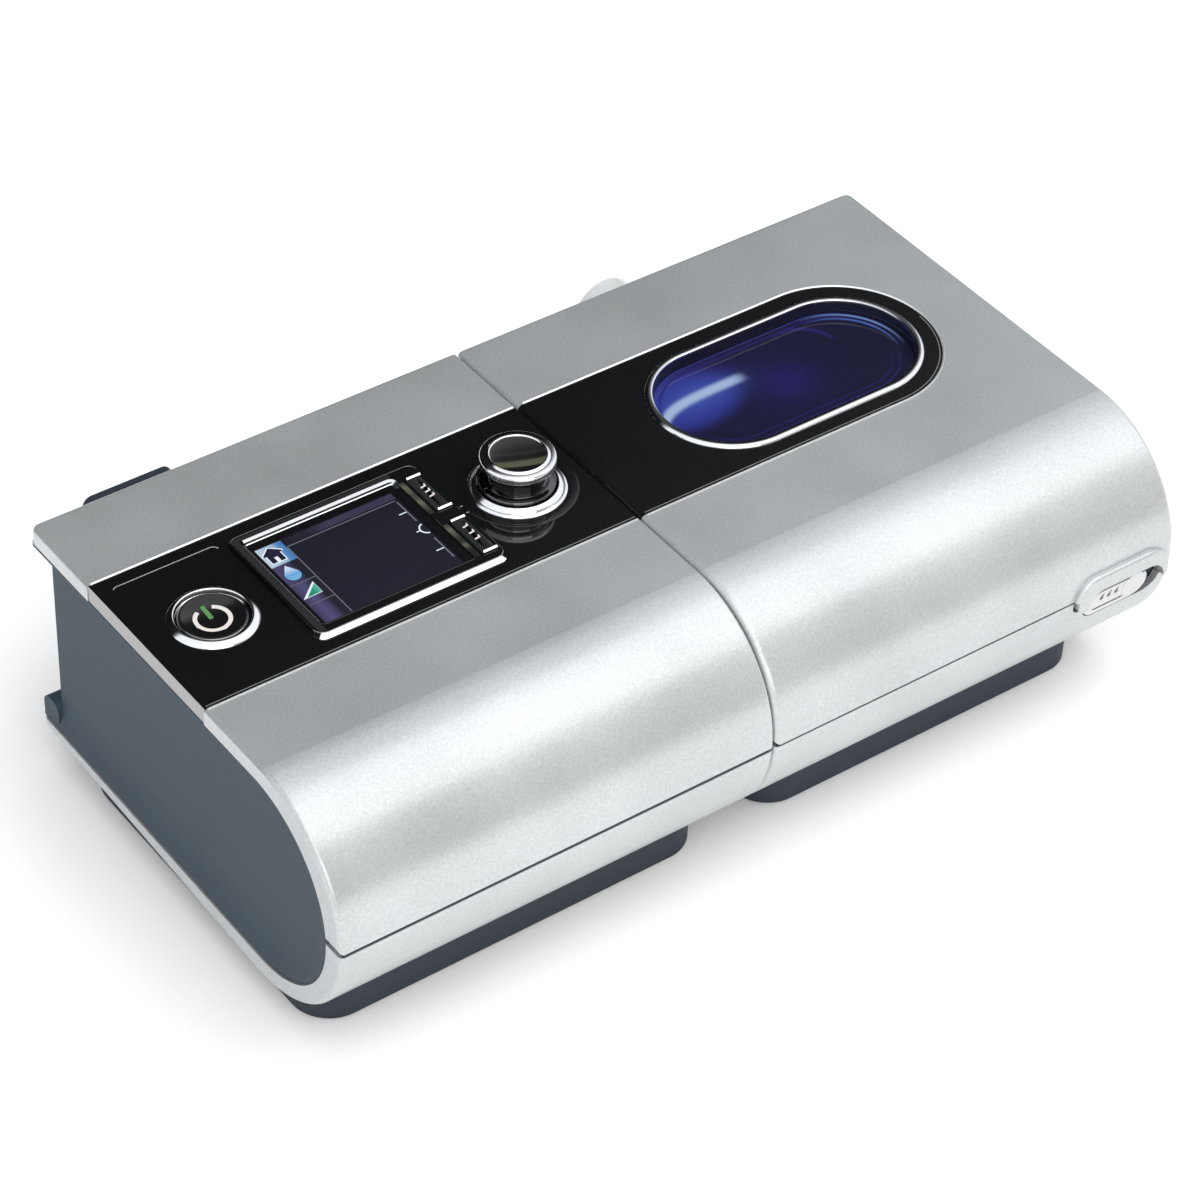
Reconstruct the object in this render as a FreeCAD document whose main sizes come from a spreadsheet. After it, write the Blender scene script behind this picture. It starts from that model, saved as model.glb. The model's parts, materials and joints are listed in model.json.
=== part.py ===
import FreeCAD, Part
import math
import os

import Sketcher
from FreeCAD import Vector

# A bedside breathing-therapy machine in two units docked side by side: a flow generator with
# its controls on the left and a heated humidifier under a hinged lid on the right.
# X runs from the flow generator to the humidifier, Y from front to back, Z up from the table.

# Driving dimensions in millimetres, degrees or counts, grouped by piece
SIZES = {
    # casing of both units
    "case_depth": 153.0, "case_height": 86.0, "flow_width": 139.6, "hum_width": 144.6,
    "unit_gap": 0.8, "front_level": 49.5, "lower_radius": 40.5, "bottom_rise": 2.1,
    "shell_wall": 2.2, "shell_edge": 1.5, "flow_seam_edge": 0.5, "hum_seam_edge": 1.9,
    "corner_radius": 2.6, "flow_corner": 1.2, "lid_corner": 2.4,
    "parting_height": 48.6, "flow_groove": 1.2, "hum_groove": 0.7,
    # side opening and the slate chassis in it
    "lip_height": 5.2, "opening_front": 6.9, "opening_level": 47.3, "opening_radius": 31.9,
    "opening_rise": 0.5, "panel_gap": 0.3, "flange_inset": 0.6, "flange_width": 1.8,
    "panel_recess": 2.5, "rear_recess": 7.0, "flange_reach": 6.7, "heel_lift": 1.3,
    "heel_height": 8.5, "heel_radius": 3.2, "heel_depth": 8.0, "chassis_wall": 2.0,
    "bay_floor": 19.0, "bay_margin": 6.0, "bay_front": 26.0, "hum_bay_front": 64.0,
    "bay_rear": 66.0, "post_radius": 2.6,
    # base feet, rubber pads and case screws
    "foot_front": 56.3, "foot_back": 64.0, "foot_radius": 12.0, "foot_wall": 2.0,
    "foot_floor": 3.0, "foot_lift": 0.6, "flow_foot_left": 5.3, "flow_foot_right": 4.7,
    "hum_foot_left": 13.2, "hum_foot_right": 10.4, "foot_reach": 15.0, "pad_radius": 5.0,
    "pad_height": 2.0, "pad_inset": 10.0, "pad_gap": 0.1, "screw_inset": 22.0,
    "screw_radius": 1.4, "screw_head": 3.0, "screw_hole": 0.3, "screw_head_low": 1.0,
    "screw_head_high": 2.6, "screw_end": 17.6,
    # glossy band across both tops
    "band_front": 12.8, "band_back": 45.8, "fascia_thick": 2.4, "fascia_gap": 0.1,
    "fascia_side": 0.25, "fascia_lip": 1.3, "bridge_thick": 2.2, "bridge_margin": 3.0,
    # start button
    "button_x": 21.1, "ring_radius": 12.7, "ring_bore": 9.9, "ring_proud": 1.3,
    "ring_skirt": 11.3, "ring_depth": 5.6, "button_gap": 0.3, "button_proud": 0.8,
    "button_thick": 5.0, "button_travel": 0.8, "stem_radius": 2.0,
    # display
    "bezel_left": 39.8, "bezel_to_dial": 19.2, "bezel_front": 6.2, "bezel_back": 40.1,
    "bezel_proud": 1.2, "bezel_corner": 3.0, "bezel_skirt": 2.0, "bezel_overlap": 1.0,
    "screen_left": 3.2, "screen_right": 8.4, "screen_front": 3.2, "screen_back": 36.0,
    "screen_gap": 0.1, "window_drop": 0.4, "window_thick": 0.8, "module_thick": 4.6,
    "carrier_wall": 1.5, "trim_depth": 1.5, "trim_gap": 0.1,
    # soft keys beside the display
    "key_inset": 1.3, "key_width": 4.6, "info_front": 18.5, "info_back": 34.6,
    "setup_front": -3.2, "setup_back": 13.0, "key_proud": 1.8, "key_thick": 4.0,
    "key_gap": 0.3, "key_travel": 0.6, "key_stem": 1.4,
    # push dial
    "dial_inset": 20.0, "dial_radius": 11.0, "dial_top": 12.0, "dial_lift": 1.4,
    "dial_skirt": 1.6, "neck_radius": 9.0, "head_radius": 10.8, "head_height": 4.0,
    "dial_dish": 1.2, "dial_rim": 3.2, "collar_radius": 14.0, "collar_bore": 11.4,
    "collar_height": 2.2, "collar_step": 17.2, "collar_plate": 0.5, "dial_travel": 1.0,
    "shaft_radius": 3.0, "shaft_bore": 1.5, "shaft_gap": 0.3, "shaft_grip": 6.0,
    "plunger_radius": 1.2, "encoder_radius": 7.0, "encoder_height": 8.6,
    "bushing_radius": 5.0, "bushing_height": 6.0, "shaft_drop": 1.4,
    # circuit board, switches, card and power socket
    "board_drop": 20.0, "board_thick": 1.6, "board_left": 8.0, "board_inset": 7.6,
    "board_front": 14.0, "board_back": 61.0, "post_inset": 8.0, "post_side": 3.5,
    "switch_size": 6.0, "switch_height": 3.6, "switch_gap": 0.2, "card_inset": 17.6,
    "card_width": 24.0, "card_thick": 2.1, "card_length": 32.0, "card_proud": 1.0,
    "slot_height": 5.6, "slot_wall": 1.6, "card_gap": 0.3, "socket_x": 68.0,
    "socket_level": 31.0, "socket_size": 14.0, "socket_depth": 12.0, "socket_bore": 4.5,
    "socket_length": 8.0,
    # air intake at the rear
    "cover_left": 22.5, "cover_width": 28.5, "cover_low": 38.0, "cover_drop": 8.6,
    "cover_end": 87.3, "cover_wall": 1.6, "cover_corner": 3.0, "cover_gap": 0.3,
    "vent_width": 2.0, "vent_pitch": 4.6, "vent_count": 5, "vent_side": 3.2, "filter_margin": 3.0,
    "filter_thick": 4.0, "filter_gap": 0.3, "muffler_left": 16.0, "muffler_right": 56.0,
    "muffler_front": 16.0, "muffler_wall": 1.6, "muffler_drop": 2.0, "muffler_gap": 0.3,
    # blower
    "blower_gap": 2.0, "blower_inset": 13.6, "blower_y": 0.0, "housing_wall": 2.0,
    "mount_height": 3.0, "mount_radius": 4.0, "mount_share": 0.59, "housing_share": 0.5,
    "cover_thick": 2.0, "eye_radius": 11.0, "scoop_half": 13.0, "scoop_share": 0.3,
    "scoop_wall": 1.6, "impeller_margin": 5.0, "impeller_drop": 7.4, "disc_thick": 1.5,
    "blade_height": 5.0, "blade_thick": 1.2, "blade_round": 0.3, "blade_start": 12.0, "blade_count": 12,
    "hub_radius": 6.0, "hub_height": 6.4, "can_radius": 14.0, "can_gap": 0.6,
    "motor_shaft": 1.5, "motor_gap": 0.3, "motor_floor": 3.0,
    # air port and docking pins between the units
    "port_share": 0.603, "port_margin": 2.0, "port_wall": 1.6, "port_reach": 7.5,
    "seal_lip": 2.0, "seal_thick": 1.2, "port_gap": 0.3, "pin_radius": 2.5, "pin_reach": 5.0,
    "pin_rear": 30.0, "pin_front": 46.0,
    # humidifier lid and its window
    "band_end_inset": 50.5, "window_x": 52.5, "window_radius": 23.9, "window_bore": 21.5,
    "ring_rise": 1.0, "ring_lip": 1.0, "glass_drop": 3.6, "glass_thick": 1.8,
    "glass_gap": 0.2, "liner_drop": 6.4, "liner_thick": 1.6, "liner_left": 9.0,
    "liner_right": 9.0, "liner_front": 36.0, "liner_back": 58.0, "liner_radius": 14.0,
    "liner_rim": 1.5, "lid_seal_thick": 3.0, "lid_seal_gap": 0.3,
    # lid hinge
    "hinge_back": 3.5, "hinge_drop": 7.0, "pin_size": 1.2, "knuckle_radius": 2.4,
    "knuckle_gap": 0.4, "knuckle_width": 8.0, "ear_width": 4.0, "hinge_inset": 20.0,
    "hinge_clear": 9.0, "pin_gap": 0.15,
    # latch at the lid's front corner
    "pocket_inset": 4.0, "pocket_width": 29.0, "pocket_below": 9.8, "pocket_above": 1.6,
    "pocket_corner": 5.6, "pocket_depth": 8.0, "hood_left": 4.4, "hood_right": 2.2,
    "hood_above": 5.2, "hood_corner": 8.0, "hood_proud": 1.6, "hood_edge": 1.2,
    "tab_drop": 4.0, "tab_side": 3.4, "tab_corner": 2.5, "latch_travel": 4.5,
    "latch_gap": 0.4, "latch_thick": 1.9, "backing_thick": 2.2,
    "backing_gap": 0.3, "backing_margin": 1.2, "backing_depth": 12.0,
    # humidifier inside
    "tub_left": 17.0, "tub_right": 9.0, "tub_front": 48.0, "tub_back": 43.0,
    "tub_radius": 16.0, "tub_wall": 1.8, "tub_low": 23.4, "tub_drop": 20.0,
    "tub_plate_thick": 1.5, "tub_plate_margin": 10.0, "tub_lid_drop": 10.0,
    "tub_lid_gap": 0.1, "heater_margin": 12.0, "heater_gap": 0.2, "duct_wall": 1.6,
    "duct_left": 4.8, "duct_gap": 0.4, "duct_half": 11.5, "duct_window_half": 8.0,
    "duct_window_drop": 3.6,
    # air outlet
    "outlet_x": 65.1, "outlet_drop": 22.0, "outlet_radius": 11.0, "outlet_bore": 9.5,
    "outlet_end": 92.5, "outlet_rim": 0.8, "outlet_collar": 2.0, "elbow_half": 12.5,
    "elbow_drop": 36.0, "outlet_gap": 0.3,
    # reach of the tools that cut right through
    "cut_over": 2.0,
}

doc = FreeCAD.newDocument("breathing_machine")
sheet = doc.addObject("Spreadsheet::Sheet", "Sizes")
for row, (alias, size) in enumerate(SIZES.items(), start=1):
    sheet.set(f"A{row}", alias)
    sheet.set(f"B{row}", str(size))
    sheet.setAlias(f"B{row}", alias)
doc.recompute()


class Amount:
    """A size written twice: as a formula on the sheet's cells, and as its present value."""

    def __init__(self, formula, value):
        self.formula = formula
        self.value = value

    def __add__(self, other):
        other = amount(other)
        return Amount(f"({self.formula} + {other.formula})", self.value + other.value)

    def __radd__(self, other):
        return amount(other) + self

    def __sub__(self, other):
        other = amount(other)
        return Amount(f"({self.formula} - {other.formula})", self.value - other.value)

    def __rsub__(self, other):
        return amount(other) - self

    def __mul__(self, other):
        other = amount(other)
        return Amount(f"({self.formula} * {other.formula})", self.value * other.value)

    def __rmul__(self, other):
        return amount(other) * self

    def __truediv__(self, other):
        other = amount(other)
        return Amount(f"({self.formula} / {other.formula})", self.value / other.value)

    def __neg__(self):
        return Amount(f"(0 - {self.formula})", -self.value)


def amount(size):
    """A plain number as an Amount."""
    if isinstance(size, Amount):
        return size
    return Amount(repr(size), size)


class Sheet:
    """The sheet's cells by name, each as an Amount."""

    def __getattr__(self, alias):
        return Amount("Sizes." + alias, SIZES[alias])


size = Sheet()

# Planes that several pieces share
FLOW_LEFT = -(size.flow_width + size.unit_gap + size.hum_width) / 2
FLOW_RIGHT = FLOW_LEFT + size.flow_width
HUM_LEFT = FLOW_RIGHT + size.unit_gap
HUM_RIGHT = HUM_LEFT + size.hum_width
FRONT = -size.case_depth / 2
BACK = size.case_depth / 2
TOP = size.case_height
REAR_WALL = BACK - size.rear_recess
OPENING_FRONT = FRONT + size.opening_front
OPENING_TOP = TOP - size.lip_height
BAND_MIDDLE = (size.band_back - size.band_front) / 2
BOARD_LOW = TOP - size.board_drop
BOARD_TOP = BOARD_LOW + size.board_thick
SWITCH_TOP = BOARD_TOP + size.switch_height
HINGE_Y = REAR_WALL + size.hinge_back
HINGE_Z = TOP - size.hinge_drop
# The origin lies in the middle of the whole depth, spigot and latch hood counted
CASE_Y = -(size.outlet_end - BACK - size.hood_proud) / 2

# How far apart two planes may lie and still be taken as one
NEARLY = 0.001
PLANES = {"x": "YZ_Plane", "y": "XZ_Plane", "z": "XY_Plane"}
TURNS = {
    "x": FreeCAD.Rotation(Vector(0, 1, 0), 90),
    "y": FreeCAD.Rotation(Vector(1, 0, 0), -90),
    "z": FreeCAD.Rotation(),
}
nodes = {}


# ---------------------------------------------------------------- building helpers

def bind(feature, **formulas):
    """Tie properties of a feature to the sheet."""
    for name, value in formulas.items():
        feature.setExpression(name.replace("__", "."), amount(value).formula)


def seat(feature, x, y, z):
    """Put a feature at a place given from the middle of the casing."""
    bind(feature, Placement__Base__x=x, Placement__Base__y=amount(y) + CASE_Y, Placement__Base__z=z)


def block(x, y, z):
    """A box between its low and high planes on each axis."""
    feature = doc.addObject("Part::Box", "block")
    bind(feature, Length=x[1] - x[0], Width=y[1] - y[0], Height=z[1] - z[0])
    seat(feature, x[0], y[0], z[0])
    return feature


def rod(axis, centre, span, radius):
    """A cylinder along an axis; centre gives the two other coordinates in X, Y, Z order."""
    feature = doc.addObject("Part::Cylinder", "rod")
    bind(feature, Radius=radius, Height=span[1] - span[0])
    place = list(centre)
    place.insert("xyz".index(axis), span[0])
    feature.Placement.Rotation = TURNS[axis]
    seat(feature, *place)
    return feature


def joined(*features):
    fusion = doc.addObject("Part::MultiFuse", "joined")
    fusion.Shapes = list(features)
    return fusion


def cut(base, *tools):
    """The base with every tool taken out of it."""
    tool = tools[0]
    if len(tools) > 1:
        tool = joined(*tools)
    feature = doc.addObject("Part::Cut", "cut")
    feature.Base = base
    feature.Tool = tool
    return feature


def shared(first, second):
    """The space that two features have in common."""
    feature = doc.addObject("Part::Common", "shared")
    feature.Base = first
    feature.Tool = second
    return feature


def tube(axis, centre, span, outer, inner):
    """A cylinder with a bore right through."""
    bore_span = (span[0] - size.cut_over, span[1] + size.cut_over)
    return cut(rod(axis, centre, span, outer), rod(axis, centre, bore_span, inner))


def piece(label, feature):
    """Name a finished sub-part."""
    feature.Label = label
    nodes[label] = feature
    return feature


# ---------------------------------------------------------------- sketched outlines

def fix(sketch, geometry, point, u=None, v=None):
    """Tie a point's distance from the sketch's origin to the sheet."""
    for kind, place in (("DistanceX", u), ("DistanceY", v)):
        if place is not None:
            place = amount(place)
            index = sketch.addConstraint(
                Sketcher.Constraint(kind, -1, 1, geometry, point, place.value))
            sketch.setExpression(f"Constraints[{index}]", place.formula)


def fix_radius(sketch, geometry, radius):
    radius = amount(radius)
    index = sketch.addConstraint(Sketcher.Constraint("Radius", geometry, radius.value))
    sketch.setExpression(f"Constraints[{index}]", radius.formula)


def line(sketch, start, end):
    return sketch.addGeometry(Part.LineSegment(Vector(*start, 0), Vector(*end, 0)), False)


def arc(sketch, centre, radius, start, end):
    """An arc from one angle anticlockwise to another, in degrees."""
    circle = Part.Circle(Vector(*centre, 0), Vector(0, 0, 1), radius)
    return sketch.addGeometry(
        Part.ArcOfCircle(circle, math.radians(start), math.radians(end)), False)


def link(sketch, kind, first, second):
    """Join the end of one line or arc to the start of the next."""
    sketch.addConstraint(Sketcher.Constraint(kind, first, 2, second, 1))


def circle(centre, radius):
    def draw(sketch):
        shape = Part.Circle(Vector(centre[0].value, centre[1].value, 0), Vector(0, 0, 1), radius.value)
        index = sketch.addGeometry(shape, False)
        fix(sketch, index, 3, centre[0], centre[1])
        fix_radius(sketch, index, radius)
    return draw


def rounded(u, v, radius):
    """A rectangle with round corners, between two planes each way."""
    def draw(sketch):
        low_u, high_u, low_v, high_v = (place.value for place in (*u, *v))
        r = radius.value
        sides = [
            line(sketch, (low_u + r, low_v), (high_u - r, low_v)),
            arc(sketch, (high_u - r, low_v + r), r, 270, 360),
            line(sketch, (high_u, low_v + r), (high_u, high_v - r)),
            arc(sketch, (high_u - r, high_v - r), r, 0, 90),
            line(sketch, (high_u - r, high_v), (low_u + r, high_v)),
            arc(sketch, (low_u + r, high_v - r), r, 90, 180),
            line(sketch, (low_u, high_v - r), (low_u, low_v + r)),
            arc(sketch, (low_u + r, low_v + r), r, 180, 270),
        ]
        for first, second in zip(sides, sides[1:] + sides[:1]):
            link(sketch, "Tangent", first, second)
        for side in sides[3::2]:
            sketch.addConstraint(Sketcher.Constraint("Equal", sides[1], side))
        for flat, upright in ((sides[0], sides[2]), (sides[4], sides[6])):
            sketch.addConstraint(Sketcher.Constraint("Horizontal", flat))
            sketch.addConstraint(Sketcher.Constraint("Vertical", upright))
        fix_radius(sketch, sides[1], radius)
        fix(sketch, sides[0], 1, v=v[0])
        fix(sketch, sides[2], 1, u=u[1])
        fix(sketch, sides[4], 1, v=v[1])
        fix(sketch, sides[6], 1, u=u[0])
    return draw


def stadium(u, v, radius):
    """Two half circles round the points (u[0], v) and (u[1], v), and the lines between them."""
    def draw(sketch):
        left, right, middle, r = u[0].value, u[1].value, v.value, radius.value
        sides = [
            line(sketch, (left, middle - r), (right, middle - r)),
            arc(sketch, (right, middle), r, 270, 450),
            line(sketch, (right, middle + r), (left, middle + r)),
            arc(sketch, (left, middle), r, 90, 270),
        ]
        for first, second in zip(sides, sides[1:] + sides[:1]):
            link(sketch, "Tangent", first, second)
        fix(sketch, sides[1], 3, u[1], v)
        fix(sketch, sides[3], 3, u[0], v)
        sketch.addConstraint(Sketcher.Constraint("Equal", sides[1], sides[3]))
        fix_radius(sketch, sides[1], radius)
    return draw


def side_outline(top, front, level, lower, back, rise):
    """The casing seen from its side: flat top, quarter round to the level of the foremost
    point, a larger arc back under it, and a base that rises slightly to the back."""
    def draw(sketch):
        slope = math.radians(rise.value)
        high, low, r_low = top.value, level.value, lower.value
        r_up = high - low
        nose = (front.value + r_up, low)
        chin = (front.value + r_low, low)
        base = (chin[0] + r_low * math.sin(slope), chin[1] - r_low * math.cos(slope))
        heel = (back.value, base[1] + (back.value - base[0]) * math.tan(slope))
        sides = [
            line(sketch, (back.value, high), (nose[0], high)),
            arc(sketch, nose, r_up, 90, 180),
            arc(sketch, chin, r_low, 180, 270 + rise.value),
            line(sketch, base, heel),
            line(sketch, heel, (back.value, high)),
        ]
        for first, second in zip(sides[:3], sides[1:4]):
            link(sketch, "Tangent", first, second)
        link(sketch, "Coincident", sides[3], sides[4])
        link(sketch, "Coincident", sides[4], sides[0])
        sketch.addConstraint(Sketcher.Constraint("Horizontal", sides[0]))
        sketch.addConstraint(Sketcher.Constraint("Vertical", sides[4]))
        fix(sketch, sides[0], 1, back, top)
        fix(sketch, sides[1], 2, front, level)
        fix(sketch, sides[1], 3, v=level)
        fix_radius(sketch, sides[2], lower)
        index = sketch.addConstraint(Sketcher.Constraint("Angle", sides[3], slope))
        sketch.setExpression(f"Constraints[{index}]", rise.formula + " * 1 deg")
    return draw


def padded(axis, outline, span):
    """A body padded from an outline, from the low plane to the high one along an axis."""
    body = doc.addObject("PartDesign::Body", "body")
    sketch = body.newObject("Sketcher::SketchObject", "outline")
    plane = next(part for part in body.Origin.OriginFeatures if part.Role == PLANES[axis])
    sketch.AttachmentSupport = [(plane, "")]
    sketch.MapMode = "FlatFace"
    outline(sketch)
    pad = body.newObject("PartDesign::Pad", "pad")
    pad.Profile = sketch
    # the normal of the XZ plane points to the front, so that pad is turned to the back
    pad.Reversed = axis == "y"
    bind(pad, Length=span[1] - span[0])
    start = [amount(0.0), amount(0.0), amount(0.0)]
    start["xyz".index(axis)] = span[0]
    seat(body, *start)
    body.Tip = pad
    return body


def ring_of(axis, outline, hole, span):
    """A frame: an outline with a hole right through."""
    long_span = (span[0] - size.cut_over, span[1] + size.cut_over)
    return cut(padded(axis, outline, span), padded(axis, hole, long_span))


def round_edges(body, radius, chosen):
    """Fillet the edges of a body that a test picks out."""
    doc.recompute()
    base = body.Tip
    names = [f"Edge{i}" for i, edge in enumerate(base.Shape.Edges, start=1) if chosen(edge)]
    fillet = body.newObject("PartDesign::Fillet", "fillet")
    fillet.Base = (base, names)
    bind(fillet, Radius=radius)
    body.Tip = fillet
    return body


# ---------------------------------------------------------------- casing forms

def casing_form(left, right, inset=0.0):
    """The casing's side outline, moved inwards by inset, between two planes in X."""
    outline = side_outline(TOP - inset, FRONT + inset, size.front_level,
                           size.lower_radius - inset, BACK - inset, size.bottom_rise)
    return padded("x", outline, (left, right))


def panel_form(left, right, inset=0.0, back=BACK + size.cut_over):
    """The outline of the side opening, moved inwards by inset, between two planes in X."""
    outline = side_outline(OPENING_TOP - inset, OPENING_FRONT + inset, size.opening_level,
                           size.opening_radius - inset, back, size.opening_rise)
    return padded("x", outline, (left, right))


def in_the_middle(edge):
    """How far along X an edge lies from the middle of a casing form, negative to the left."""
    return edge.BoundBox.Center.x - (size.flow_width / 2).value


def upright_at_back(edge):
    """True for the casing's upright rear corners."""
    box = edge.BoundBox
    return box.XLength < NEARLY and box.YLength < NEARLY and box.YMin > 0


def on_an_end(edge):
    """True for an edge that lies in one plane in X, away from the rear corners."""
    return edge.BoundBox.XLength < NEARLY and edge.BoundBox.YMin < BACK.value - NEARLY


def outer_casing(left, right, seam_on_right):
    """The casing's outer form: its outer end is rounded, and its seam end as its unit has it."""
    form = casing_form(left, right)

    def seam_side(edge):
        return (in_the_middle(edge) > 0) == seam_on_right

    seam_edge = size.flow_seam_edge if seam_on_right else size.hum_seam_edge
    round_edges(form, seam_edge, lambda edge: on_an_end(edge) and seam_side(edge))
    round_edges(form, size.corner_radius, lambda edge: upright_at_back(edge) and not seam_side(edge))
    round_edges(form, size.shell_edge, lambda edge: on_an_end(edge) and not seam_side(edge))
    return form


def casing_shell(left, right, seam_on_right):
    """The silver shell: round the casing, and open at both sides and at the rear."""
    inside = casing_form(left + size.shell_wall, right - size.shell_wall, size.shell_wall)
    opening = panel_form(left - size.cut_over, right + size.cut_over)
    return cut(outer_casing(left, right, seam_on_right), inside, opening)


def everything_between(low, high, left=FLOW_LEFT, right=HUM_RIGHT):
    """A block over the whole plan between two levels."""
    over = size.cut_over + size.hood_proud
    return block((left - over, right + over), (FRONT - over, BACK + over), (low, high))


def upper_part(left, right, low, radius):
    """The space that a unit's upper shell keeps: above the parting line, with round corners."""
    high = TOP + size.cut_over + radius
    over = size.cut_over + size.hood_proud
    return padded("y", rounded((left, right), (low, high), radius), (FRONT - over, BACK + over))


def chassis(left, right, mouth_front):
    """The slate chassis: its flange fills the side opening, its walls stand in from it."""
    inner_left = left + size.flange_inset
    inner_right = right - size.flange_inset
    outer_back = REAR_WALL + size.flange_reach
    form = panel_form(inner_left, inner_right, size.panel_gap, outer_back)
    web = size.panel_gap + size.flange_width
    wall_left = left + size.panel_recess
    wall_right = right - size.panel_recess
    recess_left = panel_form(left - size.cut_over, wall_left, web)
    recess_right = panel_form(wall_right, right + size.cut_over, web)
    behind = block((left - size.cut_over, right + size.cut_over),
                   (REAR_WALL, BACK + size.cut_over), (amount(0.0), TOP))
    recess_rear = shared(panel_form(left - size.cut_over, right + size.cut_over, web), behind)
    deep = panel_form(wall_left + size.chassis_wall, wall_right - size.chassis_wall,
                      size.panel_gap + size.chassis_wall, REAR_WALL - size.chassis_wall)
    bay = shared(deep, everything_between(size.bay_floor, TOP))
    mouth = block((wall_left + size.bay_margin, wall_right - size.bay_margin),
                  (-mouth_front, size.bay_rear), (BOARD_LOW, TOP))
    heel_low = size.opening_level - size.opening_radius + size.heel_lift
    heel = padded("x", rounded((outer_back - size.heel_depth, outer_back),
                               (heel_low, heel_low + size.heel_height), size.heel_radius),
                  (inner_left, inner_right))
    return joined(cut(form, recess_left, recess_right, recess_rear, bay, mouth), heel)


# ---------------------------------------------------------------- feet, pads and screws

def corners(left, right, inset):
    """The four places in from a foot's corners."""
    return [(x, y) for x in (left + inset, right - inset)
            for y in (-size.foot_front + inset, size.foot_back - inset)]


def base_foot(label, left, right, casing):
    """A tub under the tray that lifts the casing off the table."""
    plan = rounded((left, right), (-size.foot_front, size.foot_back), size.foot_radius)
    wall = size.foot_wall
    inside = rounded((left + wall, right - wall),
                     (-size.foot_front + wall, size.foot_back - wall), size.foot_radius - wall)
    tub = padded("z", plan, (size.foot_lift, size.foot_reach))
    hollow = padded("z", inside, (size.foot_lift + size.foot_floor, size.foot_reach + size.cut_over))
    seats = [rod("z", place, (amount(0.0), size.pad_height), size.pad_radius + size.pad_gap)
             for place in corners(left, right, size.pad_inset)]
    heads = [rod("z", place, (amount(0.0), size.screw_head_high), size.screw_head + size.screw_hole)
             for place in corners(left, right, size.screw_inset)]
    return piece(label, cut(tub, hollow, casing, *seats, *heads, *screw_holes(left, right)))


def screw_holes(left, right):
    """Clearance holes for the case screws."""
    span = (amount(0.0), size.screw_end + size.screw_hole)
    return [rod("z", place, span, size.screw_radius + size.screw_hole)
            for place in corners(left, right, size.screw_inset)]


def rubber_feet(label, left, right):
    pads = [rod("z", place, (amount(0.0), size.pad_height), size.pad_radius)
            for place in corners(left, right, size.pad_inset)]
    return piece(label, joined(*pads))


def case_screws(label, left, right):
    """Screws that hold the foot, the tray and the chassis together."""
    screws = []
    for place in corners(left, right, size.screw_inset):
        head = rod("z", place, (size.screw_head_low, size.screw_head_high), size.screw_head)
        shank = rod("z", place, (size.screw_head_high, size.screw_end), size.screw_radius)
        screws.append(joined(head, shank))
    return piece(label, joined(*screws))


# ---------------------------------------------------------------- flow generator casing

BUTTON = (FLOW_LEFT + size.button_x, BAND_MIDDLE)
DIAL = (FLOW_RIGHT - size.dial_inset, BAND_MIDDLE)
BAND = (-size.band_front, size.band_back)
BRIDGE = (TOP - size.fascia_thick - size.bridge_thick, TOP - size.shell_wall / 2)
BEZEL_X = (FLOW_LEFT + size.bezel_left, DIAL[0] - size.bezel_to_dial)
BEZEL_Y = (-size.bezel_front, size.bezel_back)
SCREEN_X = (BEZEL_X[0] + size.screen_left, BEZEL_X[1] - size.screen_right)
SCREEN_Y = (-size.screen_front, size.screen_back)
KEY_X = (BEZEL_X[1] - size.key_inset - size.key_width, BEZEL_X[1] - size.key_inset)
KEYS_Y = {
    "info_key": (size.info_front, size.info_back),
    "setup_key": (size.setup_front, size.setup_back),
}


def grown(span, margin):
    return (span[0] - margin, span[1] + margin)


def control_holes(low):
    """What goes down through the fascia and the bridge under it: button, display, dial."""
    span = (low - size.cut_over, TOP + size.cut_over)
    display = rounded(grown(BEZEL_X, -size.bezel_overlap), grown(BEZEL_Y, -size.bezel_overlap),
                      size.bezel_corner - size.bezel_overlap)
    return [
        rod("z", BUTTON, span, size.ring_skirt + size.fascia_gap),
        padded("z", display, span),
        rod("z", DIAL, span, size.bushing_radius + size.shaft_gap),
    ]


def bridge(left, right):
    """The floor of the band's recess, which ties the shell's front and back together."""
    return block((left + size.shell_wall, right - size.shell_wall),
                 (BAND[0] - size.bridge_margin, BAND[1] + size.bridge_margin), BRIDGE)


def flow_casing():
    left, right = FLOW_LEFT, FLOW_RIGHT
    shell = casing_shell(left, right, True)
    over = size.cut_over
    recess = block((left - over, right + over), BAND, (TOP - size.fascia_thick, TOP + over))
    lip = block((left - over, left + size.fascia_lip), BAND, (OPENING_TOP - over, TOP))
    upper = upper_part(left, right, size.parting_height + size.flow_groove / 2, size.flow_corner)
    lower = everything_between(amount(0.0), size.parting_height - size.flow_groove / 2)
    whole = joined(shell, bridge(left, right))
    top = cut(shared(whole, upper), recess, lip, *control_holes(BRIDGE[0]))
    piece("flow_top_shell", top)
    foot = (left + size.flow_foot_left, right - size.flow_foot_right)
    piece("flow_lower_tray", cut(shared(shell, lower), *screw_holes(*foot)))
    base_foot("flow_base_foot", *foot, casing_form(left, right))
    rubber_feet("flow_rubber_feet", *foot)
    case_screws("flow_screws", *foot)
    return foot


def control_fascia():
    """The glossy band, with a lip that turns down over the side."""
    span = (TOP - size.fascia_thick, TOP)
    depth = grown(BAND, -size.fascia_gap)
    side = FLOW_LEFT + size.fascia_side
    plate = block((side, FLOW_RIGHT - size.fascia_side), depth, span)
    lip = block((side, FLOW_LEFT + size.fascia_lip - size.fascia_gap), depth,
                (OPENING_TOP + size.fascia_side, span[0]))
    piece("control_fascia", cut(joined(plate, lip), *control_holes(span[0])))


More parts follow.
